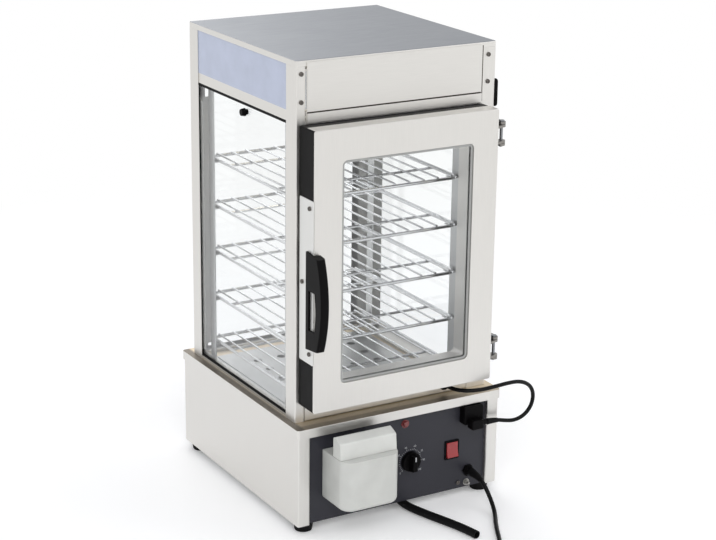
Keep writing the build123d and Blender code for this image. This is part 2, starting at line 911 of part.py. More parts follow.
def make_rack(number):
    """A chromed wire rack: a closed frame, two stays and the wires that the buns stand on."""
    level = rack_level(number)
    half = rack_wire / 2
    with BuildPart() as rack:
        with BuildLine() as loop:
            FilletPolyline(
                (rack_right - half, rack_front + half, level),
                (rack_right - half, rack_back - half, level),
                (rack_left + half, rack_back - half, level),
                (rack_left + half, rack_front + half, level),
                radius=rack_corner,
                close=True,
            )
        frame = loop.wires()[0]
        with BuildSketch(Plane(origin=frame @ 0, z_dir=frame % 0)):
            wire_section(rack_wire)
        sweep(path=frame)
        with BuildSketch(Plane.YZ.offset(rack_left + half)):
            with Locations((rack_front + 70, level), (rack_back - 70, level)):
                wire_section(rack_stay)
        extrude(amount=rack_width - rack_wire)
        wire_z = level + half + cross_wire / 2 - weld
        with BuildSketch(facing_front(0, rack_back - half, wire_z)):
            with Locations((opening_x, 0)):
                with GridLocations((rack_width - 2 * rack_corner) / (cross_count - 1), 0, cross_count, 1):
                    wire_section(cross_wire)
        extrude(amount=rack_depth - rack_wire)
    save(rack, f"rack_{number}")


def make_rack_strips():
    """Four upright strips, each with a tab under every rack."""
    with BuildPart() as strips:
        for side in (-1, 1):
            near = opening_x + side * (rack_width / 2 + strip_gap)
            for y in (cab_y - strip_offset, cab_y + strip_offset):
                with BuildSketch(Plane.YZ.offset(min(near, near + side * sheet))):
                    span(y - strip_width / 2, y + strip_width / 2, pane_bottom, pane_top)
                extrude(amount=sheet)
                for number in range(1, rack_count + 1):
                    tab_top = rack_level(number) - rack_wire / 2 - rack_seat_gap
                    with BuildSketch(Plane.XY.offset(tab_top - sheet)):
                        reach = near - side * 12
                        span(min(near, reach), max(near, reach), y - strip_width / 2, y + strip_width / 2)
                    extrude(amount=sheet)
    save(strips, "rack_strips")


# Door
def door_plane(y):
    return facing_front(door_x, y, 0)


def window(extra=0, radius=window_radius, mode=Mode.ADD):
    """The window's outline, in a sketch on the door's plane."""
    wide = window_right - window_left
    high = window_top - window_bottom
    with Locations(((window_left + window_right) / 2 - door_x, (window_bottom + window_top) / 2)):
        RectangleRounded(wide + 2 * extra, high + 2 * extra, radius + extra, mode=mode)


def door_outline(inset=0, radius=3, mode=Mode.ADD):
    """The door's outline, in a sketch on the door's plane."""
    with Locations((0, door_z)):
        RectangleRounded(door_width - 2 * inset, door_height - 2 * inset, radius, mode=mode)


def make_door_skin():
    """The stainless front sheet, with a short return round its edge and a deep one through the window."""
    with BuildPart() as skin:
        with BuildSketch(door_plane(door_front + skin_return)):
            door_outline()
            window(mode=Mode.SUBTRACT)
        extrude(amount=skin_return)
        with BuildSketch(door_plane(door_front + skin_return)):
            door_outline(thin_sheet, radius=2)
            window(thin_sheet, mode=Mode.SUBTRACT)
        extrude(amount=skin_return - thin_sheet, mode=Mode.SUBTRACT)
        with BuildSketch(door_plane(door_back)):
            window(thin_sheet, radius=window_radius)
            window(mode=Mode.SUBTRACT)
        extrude(amount=door_back - door_front - thin_sheet)
        fillet(skin.edges().group_by(Axis.Y)[0].sort_by(SortBy.LENGTH)[-8:], radius=0.8)
    save(skin, "door_skin")


def make_door_liner():
    """The black moulded frame behind the skin. It is open towards the skin."""
    shell_front = door_front + thin_sheet
    sill = 7
    with BuildPart() as liner:
        with BuildSketch(door_plane(door_back)):
            door_outline()
            window(thin_sheet + fit_gap, mode=Mode.SUBTRACT)
        extrude(amount=door_back - shell_front)
        # The rebate that the skin's return goes into, round the edge
        with BuildSketch(door_plane(door_front + skin_return)):
            door_outline()
            door_outline(thin_sheet, radius=2, mode=Mode.SUBTRACT)
        extrude(amount=skin_return - thin_sheet, mode=Mode.SUBTRACT)
        # The hollow behind the skin
        with BuildSketch(door_plane(door_back - 4)):
            door_outline(4, radius=2)
            window(sill, mode=Mode.SUBTRACT)
        extrude(amount=door_back - 4 - shell_front, mode=Mode.SUBTRACT)
    save(liner, "door_liner")


def make_door_glass():
    with BuildPart() as pane:
        with BuildSketch(door_plane(door_front + window_reveal + glass)):
            window(-glazing_groove - fit_gap)
        extrude(amount=glass)
    save(pane, "door_glass")


def make_door_seal():
    """The soft seal round the back of the door, and the rubber channel that holds the glass."""
    with BuildPart() as seal:
        with BuildSketch(door_plane(door_back)):
            door_outline()
            door_outline(seal_width, radius=3, mode=Mode.SUBTRACT)
        extrude(amount=-seal_depth)
        fillet(seal.edges().group_by(Axis.Y)[-1], radius=2)
        # The channel round the glass lies in the window's return
        with BuildSketch(door_plane(door_front + window_reveal + glass + glazing_cheek)):
            window(-fit_gap)
            window(-glazing_strip, mode=Mode.SUBTRACT)
        extrude(amount=glass + 2 * glazing_cheek)
        with BuildSketch(door_plane(door_front + window_reveal + glass)):
            window(-glazing_groove)
            window(-glazing_strip, mode=Mode.SUBTRACT)
        extrude(amount=glass, mode=Mode.SUBTRACT)
    save(seal, "door_seal")


plate_bottom = 284
plate_top = 540
plate_front = door_front + 1
plate_back = door_back
plate_left = door_left - sheet
grip_bottom = 308
grip_top = 461
grip_thick = 14
grip_side = 3.5


def make_handle_plate():
    """The aluminium plate down the door's free edge, which the handle is screwed to."""
    with BuildPart() as plate:
        with BuildSketch(Plane.YZ.offset(plate_left)):
            span(plate_front, plate_back, plate_bottom, plate_top, radius=2)
        extrude(amount=sheet)
    save(plate, "handle_plate")


def grip_outline():
    """The handle's side view: straight along the plate and bowed out in front."""
    with BuildLine() as outline:
        foot = Line((door_front + 17, grip_bottom), (door_front - 18, grip_bottom + 4))
        ThreePointArc(foot @ 1, (door_front - 31, 392), (door_front - 18, grip_top - 5))
        Polyline((door_front - 18, grip_top - 5), (door_front + 17, grip_top), foot @ 0)
    make_face(outline.edges())


def make_handle():
    """A bowed plastic pull. Fingers go through from the side, between the bow and the door."""
    with BuildPart() as handle:
        with BuildSketch(Plane.YZ.offset(plate_left - grip_side)):
            grip_outline()
        extrude(amount=grip_side)
        with BuildSketch(Plane.YZ.offset(plate_left - grip_side)):
            grip_outline()
            span(door_front - 2, door_front + 30, grip_bottom - 5, grip_top + 5, mode=Mode.SUBTRACT)
        extrude(amount=grip_thick)
        with BuildSketch(Plane.YZ.offset(plate_left - grip_side)):
            with BuildLine():
                finger = Line((door_front + 9, 402), (door_front + 9, 340))
                low = Line(finger @ 1, (door_front - 9, 340))
                ThreePointArc(low @ 1, (door_front - 13, 375), (door_front - 9, 402))
                Line((door_front - 9, 402), finger @ 0)
            make_face()
        extrude(amount=grip_thick, mode=Mode.SUBTRACT)
        bow_edges = handle.edges().filter_by(GeomType.CIRCLE).group_by(Axis.Y)[0]
        fillet(bow_edges, radius=3)
    save(handle, "handle")


# Hinges
def hinge_levels(centre):
    """The undersides of the post's two ears and of the door's two ears."""
    low = centre - hinge_span / 2
    high = centre + hinge_span / 2
    return (low, high - ear), (low + ear + ear_gap, high - 2 * ear - ear_gap)


def ear_plan(root, hole):
    """An ear in plan, in the sketch that is open: a tongue with a round end about the pin."""
    with BuildLine() as tongue:
        Polyline(*root, close=True)
    make_face(tongue.edges())
    with Locations((pin_x, pin_y)):
        Circle(ear_radius)
        Circle(hole, mode=Mode.SUBTRACT)


def make_hinge_brackets():
    """On the post: a plate with two ears that hold the pin."""
    plate_face = front_y - 2
    bracket_left = door_right + 3
    ear_root = [
        (bracket_left + 4, plate_face),
        (pin_x - ear_radius, pin_y),
        (pin_x + ear_radius, pin_y),
        (right_x, plate_face),
    ]
    with BuildPart() as brackets:
        for centre in hinge_heights.values():
            post_ears, door_ears = hinge_levels(centre)
            with BuildSketch(facing_front(0, front_y, 0)):
                span(bracket_left, right_x, centre - hinge_span / 2, centre + hinge_span / 2)
            extrude(amount=2)
            for level in post_ears:
                with BuildSketch(Plane.XY.offset(level)):
                    ear_plan(ear_root, pin_diameter / 2 + 0.02)
                extrude(amount=ear)
    save(brackets, "hinge_brackets")


def make_hinge_leaves():
    """On the door: a plate on its edge with two ears that turn on the pin."""
    ear_root = [
        (door_right + 2, pin_y - 12),
        (pin_x, pin_y - ear_radius),
        (pin_x, pin_y + ear_radius),
        (door_right + 2, pin_y + 12),
    ]
    with BuildPart() as leaves:
        for centre in hinge_heights.values():
            post_ears, door_ears = hinge_levels(centre)
            low = door_ears[0]
            high = door_ears[1] + ear
            with BuildSketch(Plane.YZ.offset(door_right)):
                span(pin_y - 12, pin_y + 12, low, high)
            extrude(amount=2)
            for level in door_ears:
                with BuildSketch(Plane.XY.offset(level)):
                    ear_plan(ear_root, pin_diameter / 2 + pin_running_gap)
                extrude(amount=ear)
    save(leaves, "hinge_leaves")


def make_hinge_pins():
    """Two pins with a round head on top."""
    with BuildPart() as pins:
        for centre in hinge_heights.values():
            low = centre - hinge_span / 2 - 2
            high = centre + hinge_span / 2
            with BuildSketch(Plane.XY.offset(low)):
                with Locations((pin_x, pin_y)):
                    Circle(pin_diameter / 2)
            extrude(amount=high - low)
            with BuildSketch(Plane.XY.offset(high)):
                with Locations((pin_x, pin_y)):
                    Circle(4.5)
            extrude(amount=2)
    save(pins, "hinge_pins")


# Leads, cord and hose
def tube(label, route, diameter, bore=0):
    """A tube along straight runs joined by tangent arcs. It prints its arcs and its volume."""
    points = [Vector(*point) for point in route]
    radii = []
    for before, here, after in zip(points, points[1:], points[2:]):
        turn = math.radians((here - before).get_angle(after - here))
        run = min((here - before).length, (after - here).length)
        radii.append(0.45 * run / math.tan(turn / 2))
    with BuildPart() as pipe:
        with BuildLine() as path:
            FilletPolyline(*points, radius=radii)
        with BuildSketch(Plane(origin=path.line @ 0, z_dir=path.line % 0)):
            Circle(diameter / 2)
            if bore:
                Circle(bore / 2, mode=Mode.SUBTRACT)
        sweep(path=path.wires()[0])
    section = math.pi * (diameter ** 2 - bore ** 2) / 4
    length = path.wires()[0].length
    print(label, "radii", [round(radius) for radius in radii], "length", round(length, 1),
          "volume ratio", round(pipe.part.volume / (section * length), 5))
    save(pipe, label)
    return length


lead_plug_x = socket_x - 1
lead_plug_z = socket_z - 12.5
lead_neck_x = lead_plug_x + 21
lead_y = panel_y - socket_depth - plug_depth / 2
lamp_lead_route = [
    (lead_neck_x, lead_y, lead_plug_z),
    (168, lead_y, lead_plug_z),
    (184, lead_y - 2, 127.5),
    (201, lead_y - 5, 125),
    (217, lead_y - 8.5, 131),
    (228, lead_y - 12, 145),
    (231, lead_y - 15, 162.5),
    (226, lead_y - 18, 180),
    (213, lead_y - 20.5, 193),
    (195, lead_y - 22.5, 200),
    (174, lead_y - 23.5, 201.3),
    (150, lead_y - 22, 199),
    (126, lead_y - 15, 195),
    (107, lead_y + 1, 191.5),
    (grommet_x, lead_y + 22, grommet_z),
    (grommet_x, front_y - 3, grommet_z),
]

hose_x = drain_x
hose_start_y = cab_y - 105
hose_start_z = 52
hose_notch_back = panel_back + 44
hose_floor = hose_diameter / 2
hose_route = [
    (hose_x, hose_start_y, hose_start_z),
    (hose_x, -86, hose_start_z),
    (hose_x, -102, 46),
    (hose_x, -117, 34),
    (hose_x + 0.5, -131.5, 20),
    (hose_x + 1.5, -148.5, 9),
    (hose_x + 4, -170, hose_floor),
    (hose_x + 10, -195, hose_floor),
    (hose_x + 18, -221, hose_floor),
    (hose_x + 26.5, -246, hose_floor),
    (hose_x + 34, -270, hose_floor),
    (hose_x + 40, -293, hose_floor),
    (hose_x + 43, -312, hose_floor),
]

cord_floor = cord_diameter / 2

# The coil of the cord's unseen length
coil_radius = 51
coil_pitch = cord_diameter + 0.6
coil_layer = cord_diameter + 0.6
turns_in_layer = 2.75
coil_x = 74
coil_y = -443
coil_start_angle = math.radians(152)
coil_lead_in = 8
coil_lead_out = 46


def coil_point(turn):
    """A place on the coil. It spirals in, climbs a layer in half a turn, and spirals out."""
    reverse = turns_in_layer + 0.25
    radius = coil_radius - coil_pitch * (reverse - abs(reverse - turn))
    climb = min(max((turn - turns_in_layer) / 0.5, 0), 1)
    height = cord_floor + coil_layer * (1 - math.cos(math.pi * climb)) / 2
    angle = coil_start_angle + 2 * math.pi * turn
    return Vector(coil_x + radius * math.cos(angle), coil_y + radius * math.sin(angle), height)


def coil_heading(turn):
    """The direction of the coil at a place, from two places close by."""
    step = 0.0005
    return (coil_point(turn + step) - coil_point(turn - step)).normalized()


def biarc(start, heading, end, end_heading):
    """Two arcs that join two places and keep both headings."""
    across = end - start
    both = heading + end_heading
    square = 2 * (heading.dot(end_heading) - 1)
    middle = -2 * across.dot(both)
    constant = across.dot(across)
    reach = (-middle - math.sqrt(middle ** 2 - 4 * square * constant)) / (2 * square)
    joint = (start + heading * reach + end - end_heading * reach) * 0.5
    TangentArc(start, joint, tangent=heading)
    TangentArc(joint, end, tangent=end_heading * -1, tangent_from_first=False)


coil_turns = 2 * turns_in_layer + 0.5
coil_start = coil_point(0) - coil_heading(0) * coil_lead_in
coil_end = coil_point(coil_turns) + coil_heading(coil_turns) * coil_lead_out


def make_cord_coil():
    with BuildPart() as coil:
        with BuildLine() as path:
            Line(coil_start, coil_point(0))
            for quarter in range(round(coil_turns * 4)):
                turn = quarter / 4
                biarc(coil_point(turn), coil_heading(turn), coil_point(turn + 0.25), coil_heading(turn + 0.25))
            Line(coil_point(coil_turns), coil_end)
        with BuildSketch(Plane(origin=coil_start, z_dir=coil_heading(0))):
            Circle(cord_diameter / 2)
        sweep(path=path.wires()[0])
    wire = path.wires()[0]
    places = [wire @ (index / 1500) for index in range(1501)]
    spacing = wire.length / 1500
    skip = round(3 * cord_diameter / spacing)
    least = min(
        (places[one] - places[other]).length
        for one in range(0, 1501, 2)
        for other in range(one + skip, 1501, 2)
    )
    section = math.pi * cord_diameter ** 2 / 4
    print("coil length", round(wire.length, 1), "least gap to itself", round(least - cord_diameter, 2),
          "volume ratio", round(coil.part.volume / (section * wire.length), 5))
    save(coil, "power_cord_coil")
    return wire.length


power_cord_route = [
    (gland_x, panel_y - gland_length, gland_z),
    (gland_x, -193.5, gland_z),
    (133, -210, 37.5),
    (133.7, -222.5, 26),
    (133, -235.5, 14.5),
    (128.5, -250.5, 6),
    (119, -267.5, cord_floor),
    (106.5, -287, cord_floor),
    (94, -309, cord_floor),
    (82, -332, cord_floor),
    (69.5, -354, cord_floor),
    (56, -374, cord_floor),
    tuple(coil_start - coil_heading(0) * 18),
    tuple(coil_start),
]


def make_power_plug():
    """A moulded three-pin plug that lies beside the coil."""
    nose = Plane(origin=coil_end, x_dir=(0, 0, 1), z_dir=coil_heading(coil_turns))
    with BuildPart() as plug:
        with BuildSketch(nose):
            Circle(5.5)
        with BuildSketch(nose.offset(14)):
            RectangleRounded(21, 27, 6)
        loft()
        with BuildSketch(nose.offset(14)):
            RectangleRounded(21, 27, 6)
        extrude(amount=18)
        with BuildSketch(nose.offset(32)):
            with Locations((-3, 6.35), (-3, -6.35)):
                Rectangle(6.3, 1.6)
            with Locations((5.5, 0)):
                Circle(2.4)
        extrude(amount=17)
    save(plug, "power_plug")


make_base_shell()
make_bottom_plate()
make_feet()
make_control_panel()
make_deck()
make_water_pan()
make_steam_tray()
make_heating_element()
make_drain_elbow()
make_thermostat()
make_knob()
make_switch()
make_rocker()
make_indicator()
make_gland()
make_lamp_socket()
make_lamp_plug()
make_grommet()
make_tank_body()
make_tank_cap()
make_tank_pin()
make_feed_pipe()
make_post("post_front_left", left_x, front_y, 1, 1, post_front_left, post_lip)
make_post("post_front_right", right_x, front_y, -1, 1, post_front_right, post_lip)
make_post("post_rear_left", left_x, back_y, 1, -1, post_front_left, 0)
make_post("post_rear_right", right_x, back_y, -1, -1, post_front_right, 0)
make_floor_frame()
make_middle_frame()
make_top_panel()
make_fascia()
make_sign_panels()
make_side_pane(-1, "left_glass")
make_side_pane(1, "right_glass")
make_back_pane()
make_pane_gaskets()
make_pane_knobs()
make_ceiling_glass()
make_lamp()
make_lamp_holders()
make_wire_cover()
for rack_number in range(1, rack_count + 1):
    make_rack(rack_number)
make_rack_strips()
make_door_skin()
make_door_liner()
make_door_glass()
make_door_seal()
make_handle_plate()
make_handle()
make_hinge_brackets()
make_hinge_leaves()
make_hinge_pins()
lengths = {
    "lamp lead": tube("lamp_lead", lamp_lead_route, lead_diameter),
    "drain hose": tube("drain_hose", hose_route, hose_diameter, hose_bore),
    "power cord": tube("power_cord", power_cord_route, cord_diameter) + make_cord_coil(),
}
make_power_plug()
print(lengths)
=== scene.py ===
"""The looks of the counter-top bun steamer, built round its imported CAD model."""

import json
import math

import bmesh
import bpy
from mathutils import Matrix, Vector

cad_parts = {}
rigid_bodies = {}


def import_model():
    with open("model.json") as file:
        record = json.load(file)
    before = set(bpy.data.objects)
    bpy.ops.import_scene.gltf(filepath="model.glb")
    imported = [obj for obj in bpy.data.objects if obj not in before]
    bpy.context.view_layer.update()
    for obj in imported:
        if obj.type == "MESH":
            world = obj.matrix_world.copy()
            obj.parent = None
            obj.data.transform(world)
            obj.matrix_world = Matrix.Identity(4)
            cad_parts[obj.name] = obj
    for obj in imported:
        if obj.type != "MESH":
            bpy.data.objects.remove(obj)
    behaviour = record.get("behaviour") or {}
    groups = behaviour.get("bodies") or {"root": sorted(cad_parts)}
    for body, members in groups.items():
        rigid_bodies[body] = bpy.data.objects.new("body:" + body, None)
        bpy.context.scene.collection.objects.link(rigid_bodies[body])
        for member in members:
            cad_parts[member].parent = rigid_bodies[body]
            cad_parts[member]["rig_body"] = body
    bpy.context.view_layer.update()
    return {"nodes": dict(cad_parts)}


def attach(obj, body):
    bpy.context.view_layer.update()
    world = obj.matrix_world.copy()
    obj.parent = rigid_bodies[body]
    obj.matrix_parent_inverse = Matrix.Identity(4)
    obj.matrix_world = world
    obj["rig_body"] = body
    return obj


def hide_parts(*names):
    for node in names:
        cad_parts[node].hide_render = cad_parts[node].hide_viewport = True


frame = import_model()

bl_info = {
    "name": "Bun Steamer Looks",
    "version": (1, 0, 0),
    "blender": (4, 5, 0),
    "location": "View3D > Sidebar > Steamer",
    "description": "Builds the visual model of a counter-top bun steamer round its CAD frame",
    "category": "Object",
}


# Faces and centres of the CAD model that small pieces sit on, in metres
PANEL_FACE = -0.165
POST_FACE = -0.1435
FASCIA_FACE = -0.145
KNOB_FACE = -0.1826
KNOB_X = 0.022
KNOB_Z = 0.081
PLATE_FACE = -0.1705
DOOR_TOP = 0.6448

# Where the deck's painted shade begins to deepen and where it is deepest: toward its front, a painted
# reflection of the door's dark underside, and toward its left side, painted shade
FRONT_SHADE = (-0.157, -0.161)
LEFT_SHADE = (-0.171, -0.176)

# The gaskets of the side panes and of the back pane lie past the first two places, and the door
# seal's channel for the window lies in front of the third
GASKET_SIDE = 0.15
GASKET_BACK = 0.19
WINDOW_CHANNEL = -0.16

# Thin pieces that are made only here, in metres, as a middle and a size
HEM_LINE = ((-0.0045, FASCIA_FACE - 0.00013, 0.662), (0.305, 0.0003, 0.002))
END_LINE = ((0.1503, POST_FACE - 0.00015, 0.6915), (0.0022, 0.0003, 0.087))
DOOR_FLANGE = ((-0.0085, -0.1782, DOOR_TOP + 0.00025), (0.318, 0.024, 0.0005))
KNOB_MARK = ((KNOB_X, KNOB_FACE - 0.0001, KNOB_Z + 0.0085), (0.0022, 0.0003, 0.0075))

# The pale strips of painted light in the rear corners: their outer faces just off the glass, then how far out
# the middle of each lies and how wide it is
STRIP_BACK = 0.2064
STRIP_SIDE = 0.1679
STRIP_MIDDLE = 0.404
STRIP_HEIGHT = 0.424
STRIP_THICKNESS = 0.0004
BEHIND_OUT, BEHIND_WIDTH = 0.1527, 0.0285
BESIDE_OUT, BESIDE_WIDTH = 0.1912, 0.0296

# The dial, with angles in degrees and sizes in metres. Its ticks and its temperatures run clockwise
# from its start over its sweep, with a number at every fourth tick
DIAL_START = 225
DIAL_SWEEP = 270
DIAL_STEPS = 28
STEPS_PER_NUMBER = 4
DEGREES_PER_NUMBER = 15
TICKS_FROM = 0.0188
SHORT_TICK = 0.0018
LONG_TICK = 0.003
NUMBERS_AT = 0.0255
NUMBER_SIZE = 0.0046

# Where the screws sit, in millimetres: across and up on the posts, and back and up on the handle plate
POST_SCREWS = ((-166, 678), (-166, 720), (161, 678), (161, 720))
PLATE_SCREWS = ((-179, 527), (-157, 409), (-179, 300))

# The screw beside the earth stud, the screws' heads, and the stud's parts as a radius and a length
PANEL_SCREW = (0.114, PANEL_FACE, 0.024)
HEAD_HEIGHT = 0.0022
HEAD_ROUND = 0.0009
RECESS_DEPTH = 0.0007
EARTH_STUD = (0.130, PANEL_FACE, 0.022)
WASHER = (0.0058, 0.001)
NUT = (0.0046, 0.0032)
BOLT = (0.0025, 0.009)

# The camera, fitted to the photograph: degrees, metres and a lens in millimetres
CAMERA_TURN = -30.56
CAMERA_TILT = 17.78
CAMERA_ROLL = 0.75
CAMERA_AIM = (0.0392, 0.035, 0.3407)
CAMERA_DISTANCE = 3.098
CAMERA_LENS = 95.0

# The studio, in metres and watts. The floor turns white between two distances from the object
FLOOR_WIDTH = 12
FLOOR_GLOW = 0.1
WHITE_FROM = 0.7
WHITE_AT = 1.8
LAMP_AIM = (0, 0.03, 0.35)
# Each lamp's name, place, width and power
LAMPS = (
    ("key_light", (-1.6, -2.6, 2.6), 1.8, 34),
    ("fill_light", (2.4, -1.8, 1.6), 1.6, 14),
    ("back_light", (0.4, 2.6, 2.4), 1.6, 16),
)

# Two vertices of a CAD node nearer than this are one, and two faces flatter than this are one face
MERGE_DISTANCE = 0.00001
FLAT_ANGLE = math.radians(0.5)

# A face looks along an axis when its normal's share of it is more than this
FACING = 0.7

# Sizes and colours that a user would change


def colour(name, value, words):
    """A colour setting with its default as sRGB hex."""
    return bpy.props.StringProperty(name=name, default=value, description=words)


class SteamerColours(bpy.types.PropertyGroup):
    """Surface colours, as sRGB hex."""

    steel: colour("Steel", "#DEDCD8", "Brushed stainless steel of the cabinet and base")
    # Painted shade: the top panel's upper faces are a darker copy of the same steel, standing in for the
    # dimmer reflection they catch
    steel_top_painted_shade: colour("Top", "#92959A", "Brushed stainless steel of the top panel's upper faces, painted darker as shade")
    # The deck's top faces: a straw-toned copy of the steel, painted darker toward the front and the left as
    # painted reflection and shade
    steel_deck: colour("Deck", "#DDCEB5", "Straw-toned stainless steel of the deck's top faces, painted darker at front and left as shade")
    steel_inner: colour("Inner steel", "#C9CACA", "Mill-finished stainless steel inside")
    panel: colour("Panel", "#2A2A31", "Powder coat of the control panel")
    tank: colour("Tank", "#C4C5C1", "Natural moulded plastic of the water tank")
    sign: colour("Sign", "#AFB7CC", "Opal acrylic of the light box panels")
    red: colour("Red", "#942427", "Lens of the pilot lamp and the lit rocker")
    black: colour("Black", "#090809", "Moulded black plastic")
    rubber: colour("Rubber", "#0C0C0D", "Black rubber of the cord, feet and seals")


class SteamerSizes(bpy.types.PropertyGroup):
    """Sizes in metres."""

    cord_diameter: bpy.props.FloatProperty(
        name="Cord diameter", default=0.007, unit="LENGTH", description="Outside of the mains cord"
    )
    lead_diameter: bpy.props.FloatProperty(
        name="Lead diameter", default=0.0065, unit="LENGTH", description="Outside of the light box lead"
    )
    hose_diameter: bpy.props.FloatProperty(
        name="Hose diameter", default=0.013, unit="LENGTH", description="Outside of the drain hose"
    )
    hose_bore: bpy.props.FloatProperty(
        name="Hose bore", default=0.009, unit="LENGTH", description="Inside of the drain hose"
    )
    screw_head: bpy.props.FloatProperty(
        name="Screw head", default=0.007, unit="LENGTH", description="Diameter of the pan-head screws"
    )
    edge_round: bpy.props.FloatProperty(
        name="Edge round", default=0.0004, unit="LENGTH", description="Rounding along cut sheet edges"
    )


# Materials


def linear(hex_colour):
    """An sRGB hex colour as linear red, green, blue and alpha."""
    values = [int(hex_colour[i : i + 2], 16) / 255 for i in (1, 3, 5)]
    return (*[v / 12.92 if v <= 0.04045 else ((v + 0.055) / 1.055) ** 2.4 for v in values], 1)


def shade(hex_colour, amount):
    """The linear colour, darker below 1 and lighter above it."""
    return (*[min(v * amount, 1) for v in linear(hex_colour)[:3]], 1)


def add_node(tree, kind, inputs=None, **settings):
    """Add one node with its settings. An input takes a value or another node's output."""
    node = tree.nodes.new(kind)
    for name, value in settings.items():
        setattr(node, name, value)
    for name, value in (inputs or {}).items():
        if isinstance(value, bpy.types.NodeSocket):
            tree.links.new(value, node.inputs[name])
        else:
            node.inputs[name].default_value = value
    return node


def new_material(name, **sockets):
    """A material with one Principled shader. Returns it, its tree, the shader and the Object coordinates."""
    material = bpy.data.materials.new(name)
    material.use_nodes = True
    tree = material.node_tree
    shader = tree.nodes["Principled BSDF"]
    for socket, value in sockets.items():
        shader.inputs[socket.replace("_", " ")].default_value = value
    place = add_node(tree, "ShaderNodeTexCoord").outputs["Object"]
    return material, tree, shader, place


def brushed_steel(name, hex_colour, grain, roughness=0.34):
    """Stainless sheet with a number 4 finish: reflections drawn out into soft streaks along one axis."""
    material, tree, shader, place = new_material(name, Metallic=1.0)
    # Scratches are 0.1 mm wide and 40 mm long, drawn 1.2 mm wide so that they show
    wide = 1 / 0.0012
    long = 1 / 0.04
    scale = [long if axis == grain else wide for axis in "XYZ"]
    stretched = add_node(tree, "ShaderNodeMapping", {"Vector": place, "Scale": scale})
    scratches = add_node(
        tree, "ShaderNodeTexNoise", {"Vector": stretched.outputs["Vector"], "Scale": 1.0, "Detail": 3.0}
    )
    # Slow change over a hand's width, where the sheet has been wiped
    wiped = add_node(tree, "ShaderNodeTexNoise", {"Vector": place, "Scale": 1 / 0.09, "Detail": 2.0})
    rough = add_node(
        tree,
        "ShaderNodeMapRange",
        {
            "Value": scratches.outputs["Fac"],
            "From Min": 0.3,
            "From Max": 0.7,
            "To Min": roughness - 0.06,
            "To Max": roughness + 0.08,
        },
    )
    rougher = add_node(
        tree,
        "ShaderNodeMath",
        {0: wiped.outputs["Fac"], 1: 0.08, 2: rough.outputs["Result"]},
        operation="MULTIPLY_ADD",
    )
    tone = add_node(
        tree,
        "ShaderNodeMix",
        {0: scratches.outputs["Fac"], 6: shade(hex_colour, 0.93), 7: shade(hex_colour, 1.04)},
        data_type="RGBA",
    )
    height = add_node(
        tree, "ShaderNodeBump", {"Height": scratches.outputs["Fac"], "Strength": 0.12, "Distance": 0.0001}
    )
    tree.links.new(tone.outputs[2], shader.inputs["Base Color"])
    tree.links.new(rougher.outputs["Value"], shader.inputs["Roughness"])
    tree.links.new(height.outputs["Normal"], shader.inputs["Normal"])
    return material


def paint_deck_shade(material):
    """Paint shade on the deck's top: darker along its left side as painted shade, and over the last 12 mm
    before its front edge as a painted reflection of the door's dark underside.
    """
    tree = material.node_tree
    shader = tree.nodes["Principled BSDF"]
    deck_shaded = shader.inputs["Base Color"].links[0].from_socket
    place = add_node(tree, "ShaderNodeTexCoord").outputs["Object"]
    reach = add_node(tree, "ShaderNodeSeparateXYZ", {"Vector": place})
    # Painted tones: toward the front, a painted reflection of the door's dark underside; toward the left,
    # painted shade
    for axis, (start, end), tone in (("Y", FRONT_SHADE, "#BDB09D"), ("X", LEFT_SHADE, "#8A8379")):
        share = add_node(
            tree, "ShaderNodeMapRange", {"Value": reach.outputs[axis], "From Min": start, "From Max": end}
        )
        deck_shaded = add_node(
            tree, "ShaderNodeMix", {0: share.outputs["Result"], 6: deck_shaded, 7: linear(tone)}, data_type="RGBA"
        ).outputs[2]
    tree.links.new(deck_shaded, shader.inputs["Base Color"])


def mill_steel(name, hex_colour):
    """Stainless sheet as it left the mill, a dull even grey with faint blotches."""
    material, tree, shader, place = new_material(name, Metallic=1.0)
    # Blotches about 12 mm across
    blotch = add_node(tree, "ShaderNodeTexNoise", {"Vector": place, "Scale": 1 / 0.012, "Detail": 4.0})
    tone = add_node(
        tree,
        "ShaderNodeMix",
        {0: blotch.outputs["Fac"], 6: shade(hex_colour, 0.9), 7: shade(hex_colour, 1.05)},
        data_type="RGBA",
    )
    rough = add_node(
        tree, "ShaderNodeMapRange", {"Value": blotch.outputs["Fac"], "To Min": 0.3, "To Max": 0.46}
    )
    tree.links.new(tone.outputs[2], shader.inputs["Base Color"])
    tree.links.new(rough.outputs["Result"], shader.inputs["Roughness"])
    return material


def powder_coat(name, hex_colour):
    """Black powder coat on steel: a fine orange peel with a soft sheen."""
    material, tree, shader, place = new_material(name, Specular_IOR_Level=0.35)
    # Orange peel 0.8 mm across, drawn 1.5 mm
    peel = add_node(tree, "ShaderNodeTexNoise", {"Vector": place, "Scale": 1 / 0.0015, "Detail": 1.0})
    # Dust and finger marks 60 mm across
    dust = add_node(tree, "ShaderNodeTexNoise", {"Vector": place, "Scale": 1 / 0.06, "Detail": 4.0})
    tone = add_node(
        tree,
        "ShaderNodeMix",
        {0: dust.outputs["Fac"], 6: shade(hex_colour, 0.82), 7: shade(hex_colour, 1.2)},
        data_type="RGBA",
    )
    rough = add_node(
        tree, "ShaderNodeMapRange", {"Value": dust.outputs["Fac"], "To Min": 0.36, "To Max": 0.5}
    )
    height = add_node(
        tree, "ShaderNodeBump", {"Height": peel.outputs["Fac"], "Strength": 0.2, "Distance": 0.0002}
    )
    tree.links.new(tone.outputs[2], shader.inputs["Base Color"])
    tree.links.new(rough.outputs["Result"], shader.inputs["Roughness"])
    tree.links.new(height.outputs["Normal"], shader.inputs["Normal"])
    return material


